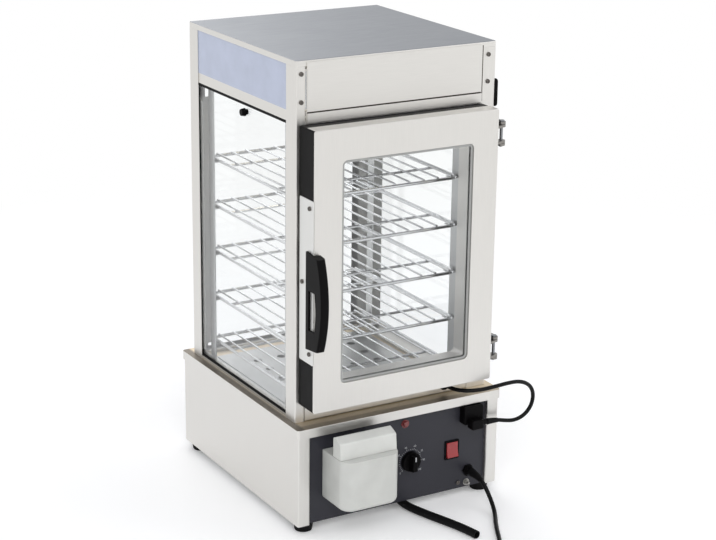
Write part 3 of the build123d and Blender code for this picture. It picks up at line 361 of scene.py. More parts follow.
def moulded(name, hex_colour, roughness=0.42, grain=0.0006, strength=0.15, **sockets):
    """Moulded plastic or rubber: an even colour, with its highlight softened by the mould's texture."""
    material, tree, shader, place = new_material(name, **sockets)
    # The pits of the mould are 0.1 mm across, drawn at the grain's size so that they show
    eroded = add_node(tree, "ShaderNodeTexVoronoi", {"Vector": place, "Scale": 1 / grain})
    # Faint clouds 30 mm across
    cloud = add_node(tree, "ShaderNodeTexNoise", {"Vector": place, "Scale": 1 / 0.03, "Detail": 3.0})
    tone = add_node(
        tree,
        "ShaderNodeMix",
        {0: cloud.outputs["Fac"], 6: shade(hex_colour, 0.88), 7: shade(hex_colour, 1.12)},
        data_type="RGBA",
    )
    rough = add_node(
        tree,
        "ShaderNodeMapRange",
        {"Value": cloud.outputs["Fac"], "To Min": roughness - 0.06, "To Max": roughness + 0.06},
    )
    height = add_node(
        tree,
        "ShaderNodeBump",
        {"Height": eroded.outputs["Distance"], "Strength": strength, "Distance": 0.0001},
    )
    tree.links.new(tone.outputs[2], shader.inputs["Base Color"])
    tree.links.new(rough.outputs["Result"], shader.inputs["Roughness"])
    tree.links.new(height.outputs["Normal"], shader.inputs["Normal"])
    return material


def sheet_glass(name):
    """Clear float glass. Its face is smooth, with the faintest smears from wiping."""
    material, tree, shader, place = new_material(name, Transmission_Weight=1.0, IOR=1.45)
    # Smears 50 mm across
    smear = add_node(tree, "ShaderNodeTexNoise", {"Vector": place, "Scale": 1 / 0.05, "Detail": 3.0})
    rough = add_node(
        tree, "ShaderNodeMapRange", {"Value": smear.outputs["Fac"], "To Min": 0.0, "To Max": 0.02}
    )
    shader.inputs["Base Color"].default_value = linear("#FDFEFE")
    tree.links.new(rough.outputs["Result"], shader.inputs["Roughness"])
    return material


def chromed(name):
    """Chrome plate over drawn wire: mirror bright, with a slight ripple."""
    material, tree, shader, place = new_material(name, Metallic=1.0)
    # The ripple left by drawing the wire is 8 mm long
    ripple = add_node(tree, "ShaderNodeTexNoise", {"Vector": place, "Scale": 1 / 0.008, "Detail": 2.0})
    rough = add_node(
        tree, "ShaderNodeMapRange", {"Value": ripple.outputs["Fac"], "To Min": 0.12, "To Max": 0.24}
    )
    shader.inputs["Base Color"].default_value = linear("#D5D6D8")
    tree.links.new(rough.outputs["Result"], shader.inputs["Roughness"])
    return material


def glowing(name, hex_colour, strength):
    """A phosphor-coated lamp tube: a warm white glow, even all round."""
    material, tree, shader, place = new_material(name, Roughness=0.2, Emission_Strength=strength)
    # Clouds in the coating, 20 mm across
    coat = add_node(tree, "ShaderNodeTexNoise", {"Vector": place, "Scale": 1 / 0.02, "Detail": 2.0})
    tone = add_node(
        tree,
        "ShaderNodeMix",
        {0: coat.outputs["Fac"], 6: shade(hex_colour, 0.96), 7: shade(hex_colour, 1.02)},
        data_type="RGBA",
    )
    shader.inputs["Emission Color"].default_value = linear(hex_colour)
    tree.links.new(tone.outputs[2], shader.inputs["Base Color"])
    return material


MADE = {}


def materials():
    """Every material of the steamer, made once."""
    if MADE:
        return MADE
    hue = bpy.context.scene.steamer_colours
    # Brushed sheet: soft streaks along the grain
    MADE["steel upright"] = brushed_steel("stainless_brushed_upright", hue.steel, "Z")
    MADE["steel along"] = brushed_steel("stainless_brushed_along", hue.steel, "X")
    # Painted shade: a darker copy of the sheet for the top's upper faces, standing in for the dimmer
    # reflection they catch
    MADE["steel top painted dark"] = brushed_steel("stainless_brushed_top_painted_shade", hue.steel_top_painted_shade, "X", roughness=0.4)
    MADE["aluminium"] = brushed_steel("aluminium_satin_anodised", "#E2E2E0", "Z", roughness=0.42)
    # The same sheet on the deck's top faces: a straw-toned copy, painted darker toward its front and left as
    # painted reflection and shade
    MADE["steel deck"] = brushed_steel("stainless_brushed_deck_top_painted_shade", hue.steel_deck, "X", roughness=0.4)
    paint_deck_shade(MADE["steel deck"])
    # Unpolished metals: dull and even, with blurred highlights
    MADE["mill"] = mill_steel("stainless_mill_finish", hue.steel_inner)
    MADE["hinge"] = mill_steel("stainless_cast_dull", "#8F8C88")
    MADE["zinc"] = mill_steel("zinc_plated_steel", "#8E9093")
    MADE["screw"] = mill_steel("steel_blackened_dull", "#6A6662")
    MADE["brass"] = mill_steel("brass_nickel_plated", "#A9A8A4")
    MADE["chrome"] = chromed("chromed_drawn_wire")
    MADE["panel"] = powder_coat("powder_coated_steel_black", hue.panel)
    # Black plastic and rubber: nearly no highlight, and the rubber is the duller
    MADE["black"] = moulded("polyamide_moulded_black", hue.black, 0.42, Specular_IOR_Level=0.07)
    MADE["rubber"] = moulded(
        "rubber_moulded_black", hue.rubber, 0.62, grain=0.0012, strength=0.25, Specular_IOR_Level=0.12
    )
    MADE["sheath"] = moulded(
        "pvc_extruded_black", hue.rubber, 0.42, grain=0.001, strength=0.1, Specular_IOR_Level=0.15
    )
    MADE["seam"] = moulded("sheet_edge_in_shadow", "#3A342E", 0.6, Specular_IOR_Level=0.05)
    # Pale plastic and silicone: matt to satin, close to smooth
    MADE["tank"] = moulded("polypropylene_moulded_natural", hue.tank, 0.34, grain=0.002, strength=0.04)
    MADE["cap"] = moulded("polypropylene_moulded_cap", "#CFD0CC", 0.34, grain=0.002, strength=0.04)
    MADE["white"] = moulded("polycarbonate_white_moulded", "#DEDDD8", 0.35)
    MADE["silicone"] = moulded("silicone_extruded_grey", "#9A9B99", 0.5, grain=0.002, strength=0.05)
    # A pale colour of painted light, for the gaskets' inward faces and the strips in the rear corners
    MADE["pale painted light"] = moulded("pale_painted_light", "#CDCDCA", 0.5, grain=0.002, strength=0.05)
    MADE["marks"] = moulded("screen_printed_white_ink", "#A9AAAC", 0.5, grain=0.002, strength=0.05)
    # Polished plastic: a sharp highlight over a deep colour
    MADE["red"] = moulded("polycarbonate_red_lens", hue.red, 0.2, grain=0.0015, strength=0.1, Coat_Weight=0.4)
    MADE["lens"] = moulded(
        "polycarbonate_dark_red_lens", "#6E2A2A", 0.2, grain=0.0015, strength=0.1, Coat_Weight=0.4
    )
    MADE["sign"] = moulded("acrylic_opal_cast", hue.sign, 0.18, grain=0.004, strength=0.01, Coat_Weight=0.3)
    MADE["glass"] = sheet_glass("float_glass_clear")
    MADE["lamp"] = glowing("phosphor_coated_glass", "#FFF6E4", 4.0)
    return MADE


def coat(piece, name):
    """Give a piece one of the steamer's materials."""
    piece.data.materials.clear()
    piece.data.materials.append(materials()[name])
    return piece


def coat_nodes(name, *nodes):
    """Give CAD nodes one of the steamer's materials."""
    for node in nodes:
        coat(frame["nodes"][node], name)


# Modelling


def deselect():
    """Leave edit mode and select nothing."""
    if bpy.context.object and bpy.context.object.mode != "OBJECT":
        bpy.ops.object.mode_set(mode="OBJECT")
    bpy.ops.object.select_all(action="DESELECT")


def activate(piece):
    """Leave only this piece selected and active."""
    deselect()
    piece.select_set(True)
    bpy.context.view_layer.objects.active = piece


def settle(piece, name, body, material):
    """Put a finished piece's place into its mesh, name it and let it ride on its body."""
    activate(piece)
    bpy.ops.object.transform_apply(location=True, rotation=True, scale=True)
    piece.name = name
    coat(piece, material)
    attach(piece, body)
    return piece


def modify(piece, kind, **settings):
    """Add a modifier with its settings and apply it."""
    activate(piece)
    modifier = piece.modifiers.new(kind.title(), kind)
    for name, value in settings.items():
        setattr(modifier, name, value)
    bpy.ops.object.modifier_apply(modifier=modifier.name)


def slab(place, size):
    """A block of a size with its centre at a place."""
    deselect()
    bpy.ops.mesh.primitive_cube_add(size=1)
    piece = bpy.context.object
    piece.scale = size
    piece.location = place
    return piece


def rod(sides, radius, length, foot=0):
    """An upright cylinder, or a prism where it has few sides, with its lower end at a height."""
    deselect()
    bpy.ops.mesh.primitive_cylinder_add(vertices=sides, radius=radius, depth=length)
    piece = bpy.context.object
    piece.location = (0, 0, foot + length / 2)
    return piece


def joined(parts):
    """The parts as one object, with its place in its mesh."""
    deselect()
    for part in parts:
        part.select_set(True)
    bpy.context.view_layer.objects.active = parts[0]
    bpy.ops.object.join()
    bpy.ops.object.transform_apply(location=True, rotation=True, scale=True)
    return bpy.context.object


def select_faces(piece, test):
    """In edit mode, select the faces whose centre and normal pass the test."""
    activate(piece)
    bpy.ops.object.mode_set(mode="EDIT")
    bpy.ops.mesh.select_mode(type="FACE")
    bpy.ops.mesh.select_all(action="DESELECT")
    shell = bmesh.from_edit_mesh(piece.data)
    for face in shell.faces:
        if test(face.calc_center_median(), face.normal):
            face.select_set(True)
    bmesh.update_edit_mesh(piece.data)


def leave_edit():
    """Go back to object mode."""
    bpy.ops.object.mode_set(mode="OBJECT")


def refined(node, material, edge=0.0, angle=35):
    """A merged, smooth-shaded copy of a CAD node with softened edges, which stands for it."""
    source = frame["nodes"][node]
    body = source["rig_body"]
    piece = bpy.data.objects.new(node + "_finished", source.data.copy())
    bpy.context.scene.collection.objects.link(piece)
    activate(piece)
    bpy.ops.object.mode_set(mode="EDIT")
    bpy.ops.mesh.select_all(action="SELECT")
    bpy.ops.mesh.remove_doubles(threshold=MERGE_DISTANCE)
    bpy.ops.mesh.dissolve_limited(angle_limit=FLAT_ANGLE)
    leave_edit()
    if edge:
        modify(
            piece,
            "BEVEL",
            width=edge,
            segments=2,
            limit_method="ANGLE",
            angle_limit=math.radians(angle),
            use_clamp_overlap=True,
        )
    activate(piece)
    bpy.ops.object.shade_smooth_by_angle(angle=math.radians(angle))
    # Large flat faces keep their own direction, and only the rounded edges turn
    modify(piece, "WEIGHTED_NORMAL", keep_sharp=True, weight=90)
    settle(piece, node + "_finished", body, material)
    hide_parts(node)
    return piece


def second_finish(piece, material, test):
    """Give the faces whose centre and normal pass the test another material."""
    piece.data.materials.append(materials()[material])
    for face in piece.data.polygons:
        if test(face.center, face.normal):
            face.material_index = 1


# Cords and hose


def nurbs_route(name, points, radius):
    """A quadratic NURBS spline with the route's points as its control points."""
    data = bpy.data.curves.new(name, "CURVE")
    data.dimensions = "3D"
    spline = data.splines.new("NURBS")
    spline.points.add(len(points) - 1)
    for control, place in zip(spline.points, points):
        control.co = (*place, 1)
    spline.order_u = 3
    spline.use_endpoint_u = True
    spline.resolution_u = 6
    data.bevel_depth = radius
    data.bevel_resolution = 5
    data.use_fill_caps = True
    piece = bpy.data.objects.new(name, data)
    bpy.context.scene.collection.objects.link(piece)
    return piece


def centreline(points):
    """The places along a route's own NURBS spline."""
    bare = nurbs_route("bare_route", points, 0)
    bpy.context.view_layer.update()
    mesh = bpy.data.meshes.new_from_object(bare.evaluated_get(bpy.context.evaluated_depsgraph_get()))
    places = [v.co.copy() for v in mesh.vertices]
    bpy.data.objects.remove(bare)
    bpy.data.meshes.remove(mesh)
    return places


def mm(*places):
    """Places in millimetres as vectors in metres."""
    return [Vector(place) / 1000 for place in places]


def swept(name, places, radii, sides=24, bore=0):
    """A round sleeve along places, with a radius at each, and a bore if it is hollow."""
    shell = bmesh.new()
    rings = []
    up = Vector((0, 0, 1)) if abs((places[1] - places[0]).normalized().z) < 0.9 else Vector((1, 0, 0))
    for index, place in enumerate(places):
        ahead = places[min(index + 1, len(places) - 1)] - places[max(index - 1, 0)]
        side = ahead.cross(up).normalized()
        up = side.cross(ahead).normalized()
        turns = [2 * math.pi * k / sides for k in range(sides)]
        outer = [
            shell.verts.new(place + (side * math.cos(t) + up * math.sin(t)) * radii[index]) for t in turns
        ]
        inner = []
        if bore:
            inner = [shell.verts.new(place + (side * math.cos(t) + up * math.sin(t)) * bore) for t in turns]
        rings.append((outer, inner))
    for (outer, inner), (next_outer, next_inner) in zip(rings, rings[1:]):
        for k in range(sides):
            j = (k + 1) % sides
            shell.faces.new((outer[k], outer[j], next_outer[j], next_outer[k]))
            if bore:
                shell.faces.new((inner[j], inner[k], next_inner[k], next_inner[j]))
    for (outer, inner), flip in ((rings[0], True), (rings[-1], False)):
        if bore:
            for k in range(sides):
                j = (k + 1) % sides
                corner = (outer[k], inner[k], inner[j], outer[j])
                shell.faces.new(corner if flip else corner[::-1])
        else:
            shell.faces.new(outer[::-1] if flip else outer)
    bmesh.ops.recalc_face_normals(shell, faces=shell.faces)
    data = bpy.data.meshes.new(name)
    shell.to_mesh(data)
    shell.free()
    piece = bpy.data.objects.new(name, data)
    bpy.context.scene.collection.objects.link(piece)
    activate(piece)
    bpy.ops.object.shade_smooth_by_angle(angle=math.radians(50))
    return piece


def boot(name, along, length, root, tip, rib=0):
    """The sleeve that keeps a cord from kinking at its start, ribbed where a rib's height is given."""
    places = [place for place in along if (place - along[0]).length < length]
    radii = []
    for index in range(len(places)):
        share = index / (len(places) - 1)
        radii.append(root + (tip - root) * share + (rib if index % 2 else 0))
    return settle(swept(name, places, radii), name, "cabinet", "rubber")


# The mains cord's coil, as it lies in the CAD model, in millimetres
COIL_CENTRE = (74, -443)
COIL_RADIUS = 51
COIL_PITCH = 7.6
COIL_START = math.radians(152)
LAYER_TURNS = 2.75
CLIMB_TURNS = 0.5
COIL_TURNS = 6
POINTS_PER_TURN = 14
LYING_HEIGHT = 3.5
# How far before the coil and past it the cord's straight points lie
BEFORE_COIL = (26, 8)
PAST_COIL = (16, 31, 46)


def coil_place(turn):
    """A place on the coil: it spirals in, climbs a layer in half a turn, and spirals out."""
    reverse = LAYER_TURNS + CLIMB_TURNS / 2
    radius = COIL_RADIUS - COIL_PITCH * (reverse - abs(reverse - turn))
    climb = min(max((turn - LAYER_TURNS) / CLIMB_TURNS, 0), 1)
    height = LYING_HEIGHT + COIL_PITCH * (1 - math.cos(math.pi * climb)) / 2
    angle = COIL_START + 2 * math.pi * turn
    x, y = COIL_CENTRE
    return Vector((x + radius * math.cos(angle), y + radius * math.sin(angle), height))


def coil_heading(turn):
    """The cord's direction at a place on the coil."""
    step = 0.0005
    return (coil_place(turn + step) - coil_place(turn - step)).normalized()


# The points of the three routes, as in the CAD model, in millimetres
CORD_ROUTE = [
    (132, -177, 43),
    (132, -193.5, 43),
    (133, -210, 37.5),
    (133.7, -222.5, 26),
    (133, -235.5, 14.5),
    (128.5, -250.5, 6),
    (119, -267.5, 3.5),
    (106.5, -287, 3.5),
    (94, -309, 3.5),
    (82, -332, 3.5),
    (69.5, -354, 3.5),
    (56, -374, 3.5),
]
LEAD_ROUTE = [
    (152, -187, 131),
    (168, -187, 131),
    (184, -189, 127.5),
    (201, -192, 125),
    (217, -195.5, 131),
    (228, -199, 145),
    (231, -202, 162.5),
    (226, -205, 180),
    (213, -207.5, 193),
    (195, -209.5, 200),
    (174, -210.5, 201.3),
    (150, -209, 199),
    (126, -202, 195),
    (107, -186, 191.5),
    (97, -165, 190),
    (97, -146.5, 190),
]
HOSE_ROUTE = [
    (11, -70, 52),
    (11, -86, 52),
    (11, -102, 46),
    (11, -117, 34),
    (11.5, -131.5, 20),
    (12.5, -148.5, 9),
    (15, -170, 6.5),
    (21, -195, 6.5),
    (29, -221, 6.5),
    (37.5, -246, 6.5),
    (45, -270, 6.5),
    (51, -293, 6.5),
    (54, -312, 6.5),
]


class STEAMER_OT_camera(bpy.types.Operator):
    """Stand the camera at the photograph's viewing angle"""

    bl_idname = "steamer.camera"
    bl_label = "Camera"

    def execute(self, context):
        turn = math.radians(CAMERA_TURN)
        tilt = math.radians(CAMERA_TILT)
        roll = math.radians(CAMERA_ROLL)
        back = Vector((math.sin(turn) * math.cos(tilt), -math.cos(turn) * math.cos(tilt), math.sin(tilt)))
        right = (-back).cross(Vector((0, 0, 1))).normalized()
        up = right.cross(-back)
        right, up = right * math.cos(roll) + up * math.sin(roll), up * math.cos(roll) - right * math.sin(roll)
        bpy.ops.object.camera_add()
        camera = context.object
        camera.name = "camera"
        spin = Matrix((right, up, back)).transposed().to_4x4()
        camera.matrix_world = Matrix.Translation(Vector(CAMERA_AIM) + back * CAMERA_DISTANCE) @ spin
        camera.data.sensor_width = 36
        camera.data.lens = CAMERA_LENS
        camera.data.clip_end = 60
        context.scene.camera = camera
        return {"FINISHED"}


class STEAMER_OT_mains_cord(bpy.types.Operator):
    """Lay the mains cord from its gland to its coil, with its boot and plug"""

    bl_idname = "steamer.mains_cord"
    bl_label = "Mains cord"

    def execute(self, context):
        sizes = context.scene.steamer_sizes
        route = mm(*CORD_ROUTE)
        for reach in BEFORE_COIL:
            route.append((coil_place(0) - coil_heading(0) * reach) / 1000)
        for step in range(COIL_TURNS * POINTS_PER_TURN + 1):
            route.append(coil_place(step / POINTS_PER_TURN) / 1000)
        for reach in PAST_COIL:
            route.append((coil_place(COIL_TURNS) + coil_heading(COIL_TURNS) * reach) / 1000)
        cord = nurbs_route("mains_cord", route, sizes.cord_diameter / 2)
        cord.data.materials.append(materials()["sheath"])
        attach(cord, "cabinet")
        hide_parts("power_cord", "power_cord_coil")
        along = centreline(route)
        gland_boot = boot("mains_cord_boot", along, length=0.03, root=0.0068, tip=0.0042, rib=0.0003)
        plug = refined("power_plug", "rubber", edge=0.0008)
        return {"FINISHED"}


class STEAMER_OT_light_lead(bpy.types.Operator):
    """Loop the light box's lead from its plug to the grommet over the deck"""

    bl_idname = "steamer.light_lead"
    bl_label = "Light box lead"

    def execute(self, context):
        sizes = context.scene.steamer_sizes
        route = mm(*LEAD_ROUTE)
        lead = nurbs_route("light_lead", route, sizes.lead_diameter / 2)
        lead.data.materials.append(materials()["sheath"])
        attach(lead, "cabinet")
        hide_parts("lamp_lead")
        plug_boot = boot("light_lead_boot", centreline(route), length=0.022, root=0.0052, tip=0.0037)
        return {"FINISHED"}


class STEAMER_OT_drain_hose(bpy.types.Operator):
    """Run the hollow drain hose from the elbow under the pan out in front"""

    bl_idname = "steamer.drain_hose"
    bl_label = "Drain hose"

    def execute(self, context):
        sizes = context.scene.steamer_sizes
        route = mm(*HOSE_ROUTE)
        along = centreline(route)
        radii = [sizes.hose_diameter / 2] * len(along)
        hose = swept("drain_hose_tube", along, radii, bore=sizes.hose_bore / 2)
        settle(hose, "drain_hose_tube", "cabinet", "rubber")
        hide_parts("drain_hose")
        return {"FINISHED"}


class STEAMER_OT_steel(bpy.types.Operator):
    """Finish the stainless sheet of the base, cabinet and top"""

    bl_idname = "steamer.steel"
    bl_label = "Steel sheet"

    def execute(self, context):
        edge = context.scene.steamer_sizes.edge_round
        for node in ("post_front_left", "post_front_right", "post_rear_left", "post_rear_right"):
            refined(node, "steel upright", edge=edge)
        refined("base_shell", "steel upright")
        deck = refined("deck", "steel along")
        # The deck's upward faces take a straw-toned copy of the sheet, with painted reflection and shade
        # toward its front and left
        second_finish(deck, "steel deck", lambda centre, normal: normal.z > FACING)
        refined("front_fascia", "steel along")
        self.seam("fascia_hem_line", *HEM_LINE)
        self.seam("fascia_end_line", *END_LINE)
        top = refined("top_panel", "steel along")
        # The upward faces take the darker copy of the steel: painted shade for the dimmer reflection a flat
        # top catches
        second_finish(top, "steel top painted dark", lambda centre, normal: normal.z > FACING)
        coat_nodes("steel along", "floor_frame", "middle_frame")
        coat_nodes("mill", "bottom_plate", "rack_strips")
        return {"FINISHED"}

    def seam(self, name, place, size):
        """A thin dark line where one sheet is laid against the next."""
        settle(slab(place, size), name, "cabinet", "seam")


class STEAMER_OT_glazing(bpy.types.Operator):
    """Finish the panes, their gaskets and the knobs that hold them"""

    bl_idname = "steamer.glazing"
    bl_label = "Glazing"

    def execute(self, context):
        coat_nodes("glass", "left_glass", "right_glass", "back_glass", "door_glass", "ceiling_glass")
        gaskets = refined("pane_gaskets", "rubber")
        # Their faces inside the cabinet get a pale copy in place of the black rubber: painted light, standing
        # in for the bright interior seen through the glass
        second_finish(
            gaskets,
            "pale painted light",
            lambda centre, normal: (centre.x < -GASKET_SIDE and normal.x > FACING)
            or (centre.x > GASKET_SIDE and normal.x < -FACING)
            or (centre.y > GASKET_BACK and normal.y < -FACING),
        )
        refined("pane_knobs", "black", edge=0.0006)
        self.painted_light_corner_strips()
        return {"FINISHED"}

    def painted_light_corner_strips(self):
        """Pale strips of painted light inside the rear corners, put in front of the posts that show through
        the glass so that the corners read as the lit interior.
        """
        strips = []
        for side in (-1, 1):
            behind = (side * BEHIND_OUT, STRIP_BACK - STRIP_THICKNESS / 2, STRIP_MIDDLE)
            beside = (side * (STRIP_SIDE - STRIP_THICKNESS / 2), BESIDE_OUT, STRIP_MIDDLE)
            strips.append(slab(behind, (BEHIND_WIDTH, STRIP_THICKNESS, STRIP_HEIGHT)))
            strips.append(slab(beside, (STRIP_THICKNESS, BESIDE_WIDTH, STRIP_HEIGHT)))
        settle(joined(strips), "painted_light_corner_strips", "cabinet", "pale painted light")


class STEAMER_OT_boiler(bpy.types.Operator):
    """Finish the pan, tray, heater and drain in the base, and the feet under it"""

    bl_idname = "steamer.boiler"
    bl_label = "Boiler"

    def execute(self, context):
        refined("water_pan", "mill")
        refined("steam_tray", "mill")
        refined("heating_element", "mill")
        refined("drain_elbow", "mill")
        refined("feed_pipe", "mill")
        refined("feet", "rubber", edge=0.0006)
        coat_nodes("panel", "control_panel")
        return {"FINISHED"}


class STEAMER_OT_tank(bpy.types.Operator):
    """Finish the moulded water tank and its cap"""

    bl_idname = "steamer.tank"
    bl_label = "Water tank"

    def execute(self, context):
        refined("tank_body", "tank", edge=0.0008)
        refined("tank_cap", "cap", edge=0.0006)
        refined("tank_cap_pin", "zinc")
        return {"FINISHED"}


class STEAMER_OT_controls(bpy.types.Operator):
    """Finish the thermostat, switch, lamp and sockets, and print the dial"""

    bl_idname = "steamer.controls"
    bl_label = "Controls"

    def execute(self, context):
        refined("thermostat_knob", "black", edge=0.0005)
        refined("thermostat", "black")
        refined("switch_body", "black", edge=0.0004)
        refined("switch_rocker", "red", edge=0.0004)
        refined("indicator_lamp", "lens")
        refined("cord_gland", "black", edge=0.0004)
        refined("lamp_socket", "black", edge=0.0005)
        refined("lamp_plug", "black", edge=0.0005)
        refined("lead_grommet", "rubber")
        self.print_dial()
        # A stroke on the end of the grip bar that points at the dial
        mark = slab(*KNOB_MARK)
        modify(mark, "BEVEL", width=0.0001, segments=1)
        settle(mark, "knob_mark", "thermostat_knob", "marks")
        return {"FINISHED"}

    def print_dial(self):
        """Ticks and numbers in white ink on the panel round the knob."""
        centre = Vector((KNOB_X, PANEL_FACE - 0.00008, KNOB_Z))
        parts = []
        for step in range(DIAL_STEPS + 1):
            angle = math.radians(DIAL_START - DIAL_SWEEP * step / DIAL_STEPS)
            long = SHORT_TICK if step % STEPS_PER_NUMBER else LONG_TICK
            out = Vector((math.cos(angle), 0, math.sin(angle)))
            tick = slab(centre + out * (TICKS_FROM + long / 2), (long, 0.0001, 0.0006))
            tick.rotation_euler = (0, -angle, 0)
            bpy.ops.object.transform_apply(location=True, rotation=True, scale=True)
            parts.append(tick)
        for step in range(DIAL_STEPS // STEPS_PER_NUMBER + 1):
            angle = math.radians(DIAL_START - DIAL_SWEEP * step * STEPS_PER_NUMBER / DIAL_STEPS)
            out = Vector((math.cos(angle), 0, math.sin(angle)))
            deselect()
            bpy.ops.object.text_add()
            number = bpy.context.object
            number.data.body = str(step * DEGREES_PER_NUMBER)
            number.data.size = NUMBER_SIZE
            number.data.extrude = 0.00004
            number.data.align_x = "CENTER"
            number.data.align_y = "CENTER"
            number.rotation_euler = (math.pi / 2, 0, 0)
            number.location = centre + out * NUMBERS_AT
            bpy.ops.object.convert(target="MESH")
            bpy.ops.object.transform_apply(location=True, rotation=True, scale=True)
            parts.append(bpy.context.object)
        settle(joined(parts), "dial_marks", "cabinet", "marks")


class STEAMER_OT_door(bpy.types.Operator):
    """Finish the door's skin, liner, seal, plate and handle"""

    bl_idname = "steamer.door"
    bl_label = "Door"

    def execute(self, context):
        edge = context.scene.steamer_sizes.edge_round
        refined("door_skin", "steel upright", edge=edge)
        refined("door_liner", "black")
        seal = refined("door_seal", "rubber")
        # The part of it that holds the window is grey
        second_finish(seal, "silicone", lambda centre, normal: centre.y < WINDOW_CHANNEL)
        self.top_flange()
        refined("handle_plate", "aluminium", edge=edge)
        refined("handle", "black", edge=0.0012)
        return {"FINISHED"}

    def top_flange(self):
        """The front sheet's flange, which is turned back over the top of the liner."""
        settle(slab(*DOOR_FLANGE), "door_top_flange", "door", "steel along")


class STEAMER_OT_hinges(bpy.types.Operator):
    """Finish the hinges' brackets, leaves and pins, and the wire cover by them"""

    bl_idname = "steamer.hinges"
    bl_label = "Hinges"

    def execute(self, context):
        refined("hinge_brackets", "hinge", edge=0.0003)
        refined("hinge_leaves", "hinge", edge=0.0003)
        refined("hinge_pins", "zinc", edge=0.0003)
        refined("wire_cover", "black")
        return {"FINISHED"}


class STEAMER_OT_racks(bpy.types.Operator):
    """Finish the five chromed wire racks"""

    bl_idname = "steamer.racks"
    bl_label = "Racks"

    def execute(self, context):
        for number in range(1, 6):
            refined(f"rack_{number}", "chrome", angle=50)
        return {"FINISHED"}


class STEAMER_OT_light_box(bpy.types.Operator):
    """Finish the opal panels, the lamp and its holders"""

    bl_idname = "steamer.light_box"
    bl_label = "Light box"

    def execute(self, context):
        coat_nodes("sign", "sign_panels")
        refined("lamp_tube", "lamp")
        refined("lamp_holders", "white", edge=0.0005)
        return {"FINISHED"}


class STEAMER_OT_screws(bpy.types.Operator):
    """Set the cross-recessed screws on the posts and handle plate, and the earth stud"""

    bl_idname = "steamer.screws"
    bl_label = "Screws"

    def execute(self, context):
        head = self.pan_head(context.scene.steamer_sizes.screw_head / 2)
        for number, (x, z) in enumerate(POST_SCREWS, 1):
            place = (x / 1000, POST_FACE, z / 1000)
            self.set_screw(head, f"post_screw_{number}", place, 0, "cabinet")
        for number, (y, z) in enumerate(PLATE_SCREWS, 1):
            place = (PLATE_FACE, y / 1000, z / 1000)
            self.set_screw(head, f"plate_screw_{number}", place, -math.pi / 2, "door")
        self.set_screw(head, "panel_screw", PANEL_SCREW, 0, "cabinet")
        bpy.data.objects.remove(head)
        self.earth_stud()
        return {"FINISHED"}

    def pan_head(self, radius):
        """One screw head that faces the front, with a cross recess cut into it."""
        head = rod(28, radius, HEAD_HEIGHT, foot=-HEAD_HEIGHT / 2)
        select_faces(head, lambda centre, normal: normal.z > FACING)
        bpy.ops.mesh.bevel(offset=HEAD_ROUND, segments=4, affect="EDGES")
        leave_edit()
        for turn in (0, math.pi / 2):
            cutter = slab((0, 0, HEAD_HEIGHT / 2), (radius * 1.15, radius * 0.24, RECESS_DEPTH * 2))
            cutter.rotation_euler = (0, 0, turn)
            modify(head, "BOOLEAN", operation="DIFFERENCE", object=cutter, solver="EXACT")
            bpy.data.objects.remove(cutter)
        activate(head)
        head.rotation_euler = (math.pi / 2, 0, 0)
        head.location = (0, -HEAD_HEIGHT / 2, 0)
        bpy.ops.object.transform_apply(location=True, rotation=True, scale=True)
        bpy.ops.object.shade_smooth_by_angle(angle=math.radians(30))
        return head

    def set_screw(self, head, name, place, turn, body):
        """A copy of the head at a place, turned about the upright axis."""
        screw = bpy.data.objects.new(name, head.data.copy())
        bpy.context.scene.collection.objects.link(screw)
        screw.rotation_euler = (0, 0, turn)
        screw.location = place
        settle(screw, name, body, "screw")

    def earth_stud(self):
        """A bolt with a washer, a nut and a domed end."""
        washer = rod(24, *WASHER)
        nut = rod(6, *NUT, foot=WASHER[1])
        modify(nut, "BEVEL", width=0.0003, segments=2)
        stud = rod(20, *BOLT)
        select_faces(stud, lambda centre, normal: normal.z > FACING)
        bpy.ops.mesh.bevel(offset=0.0006, segments=2, affect="EDGES")
        leave_edit()
        stud = joined([stud, washer, nut])
        stud.rotation_euler = (math.pi / 2, 0, 0)
        stud.location = EARTH_STUD
        settle(stud, "earth_stud", "cabinet", "brass")


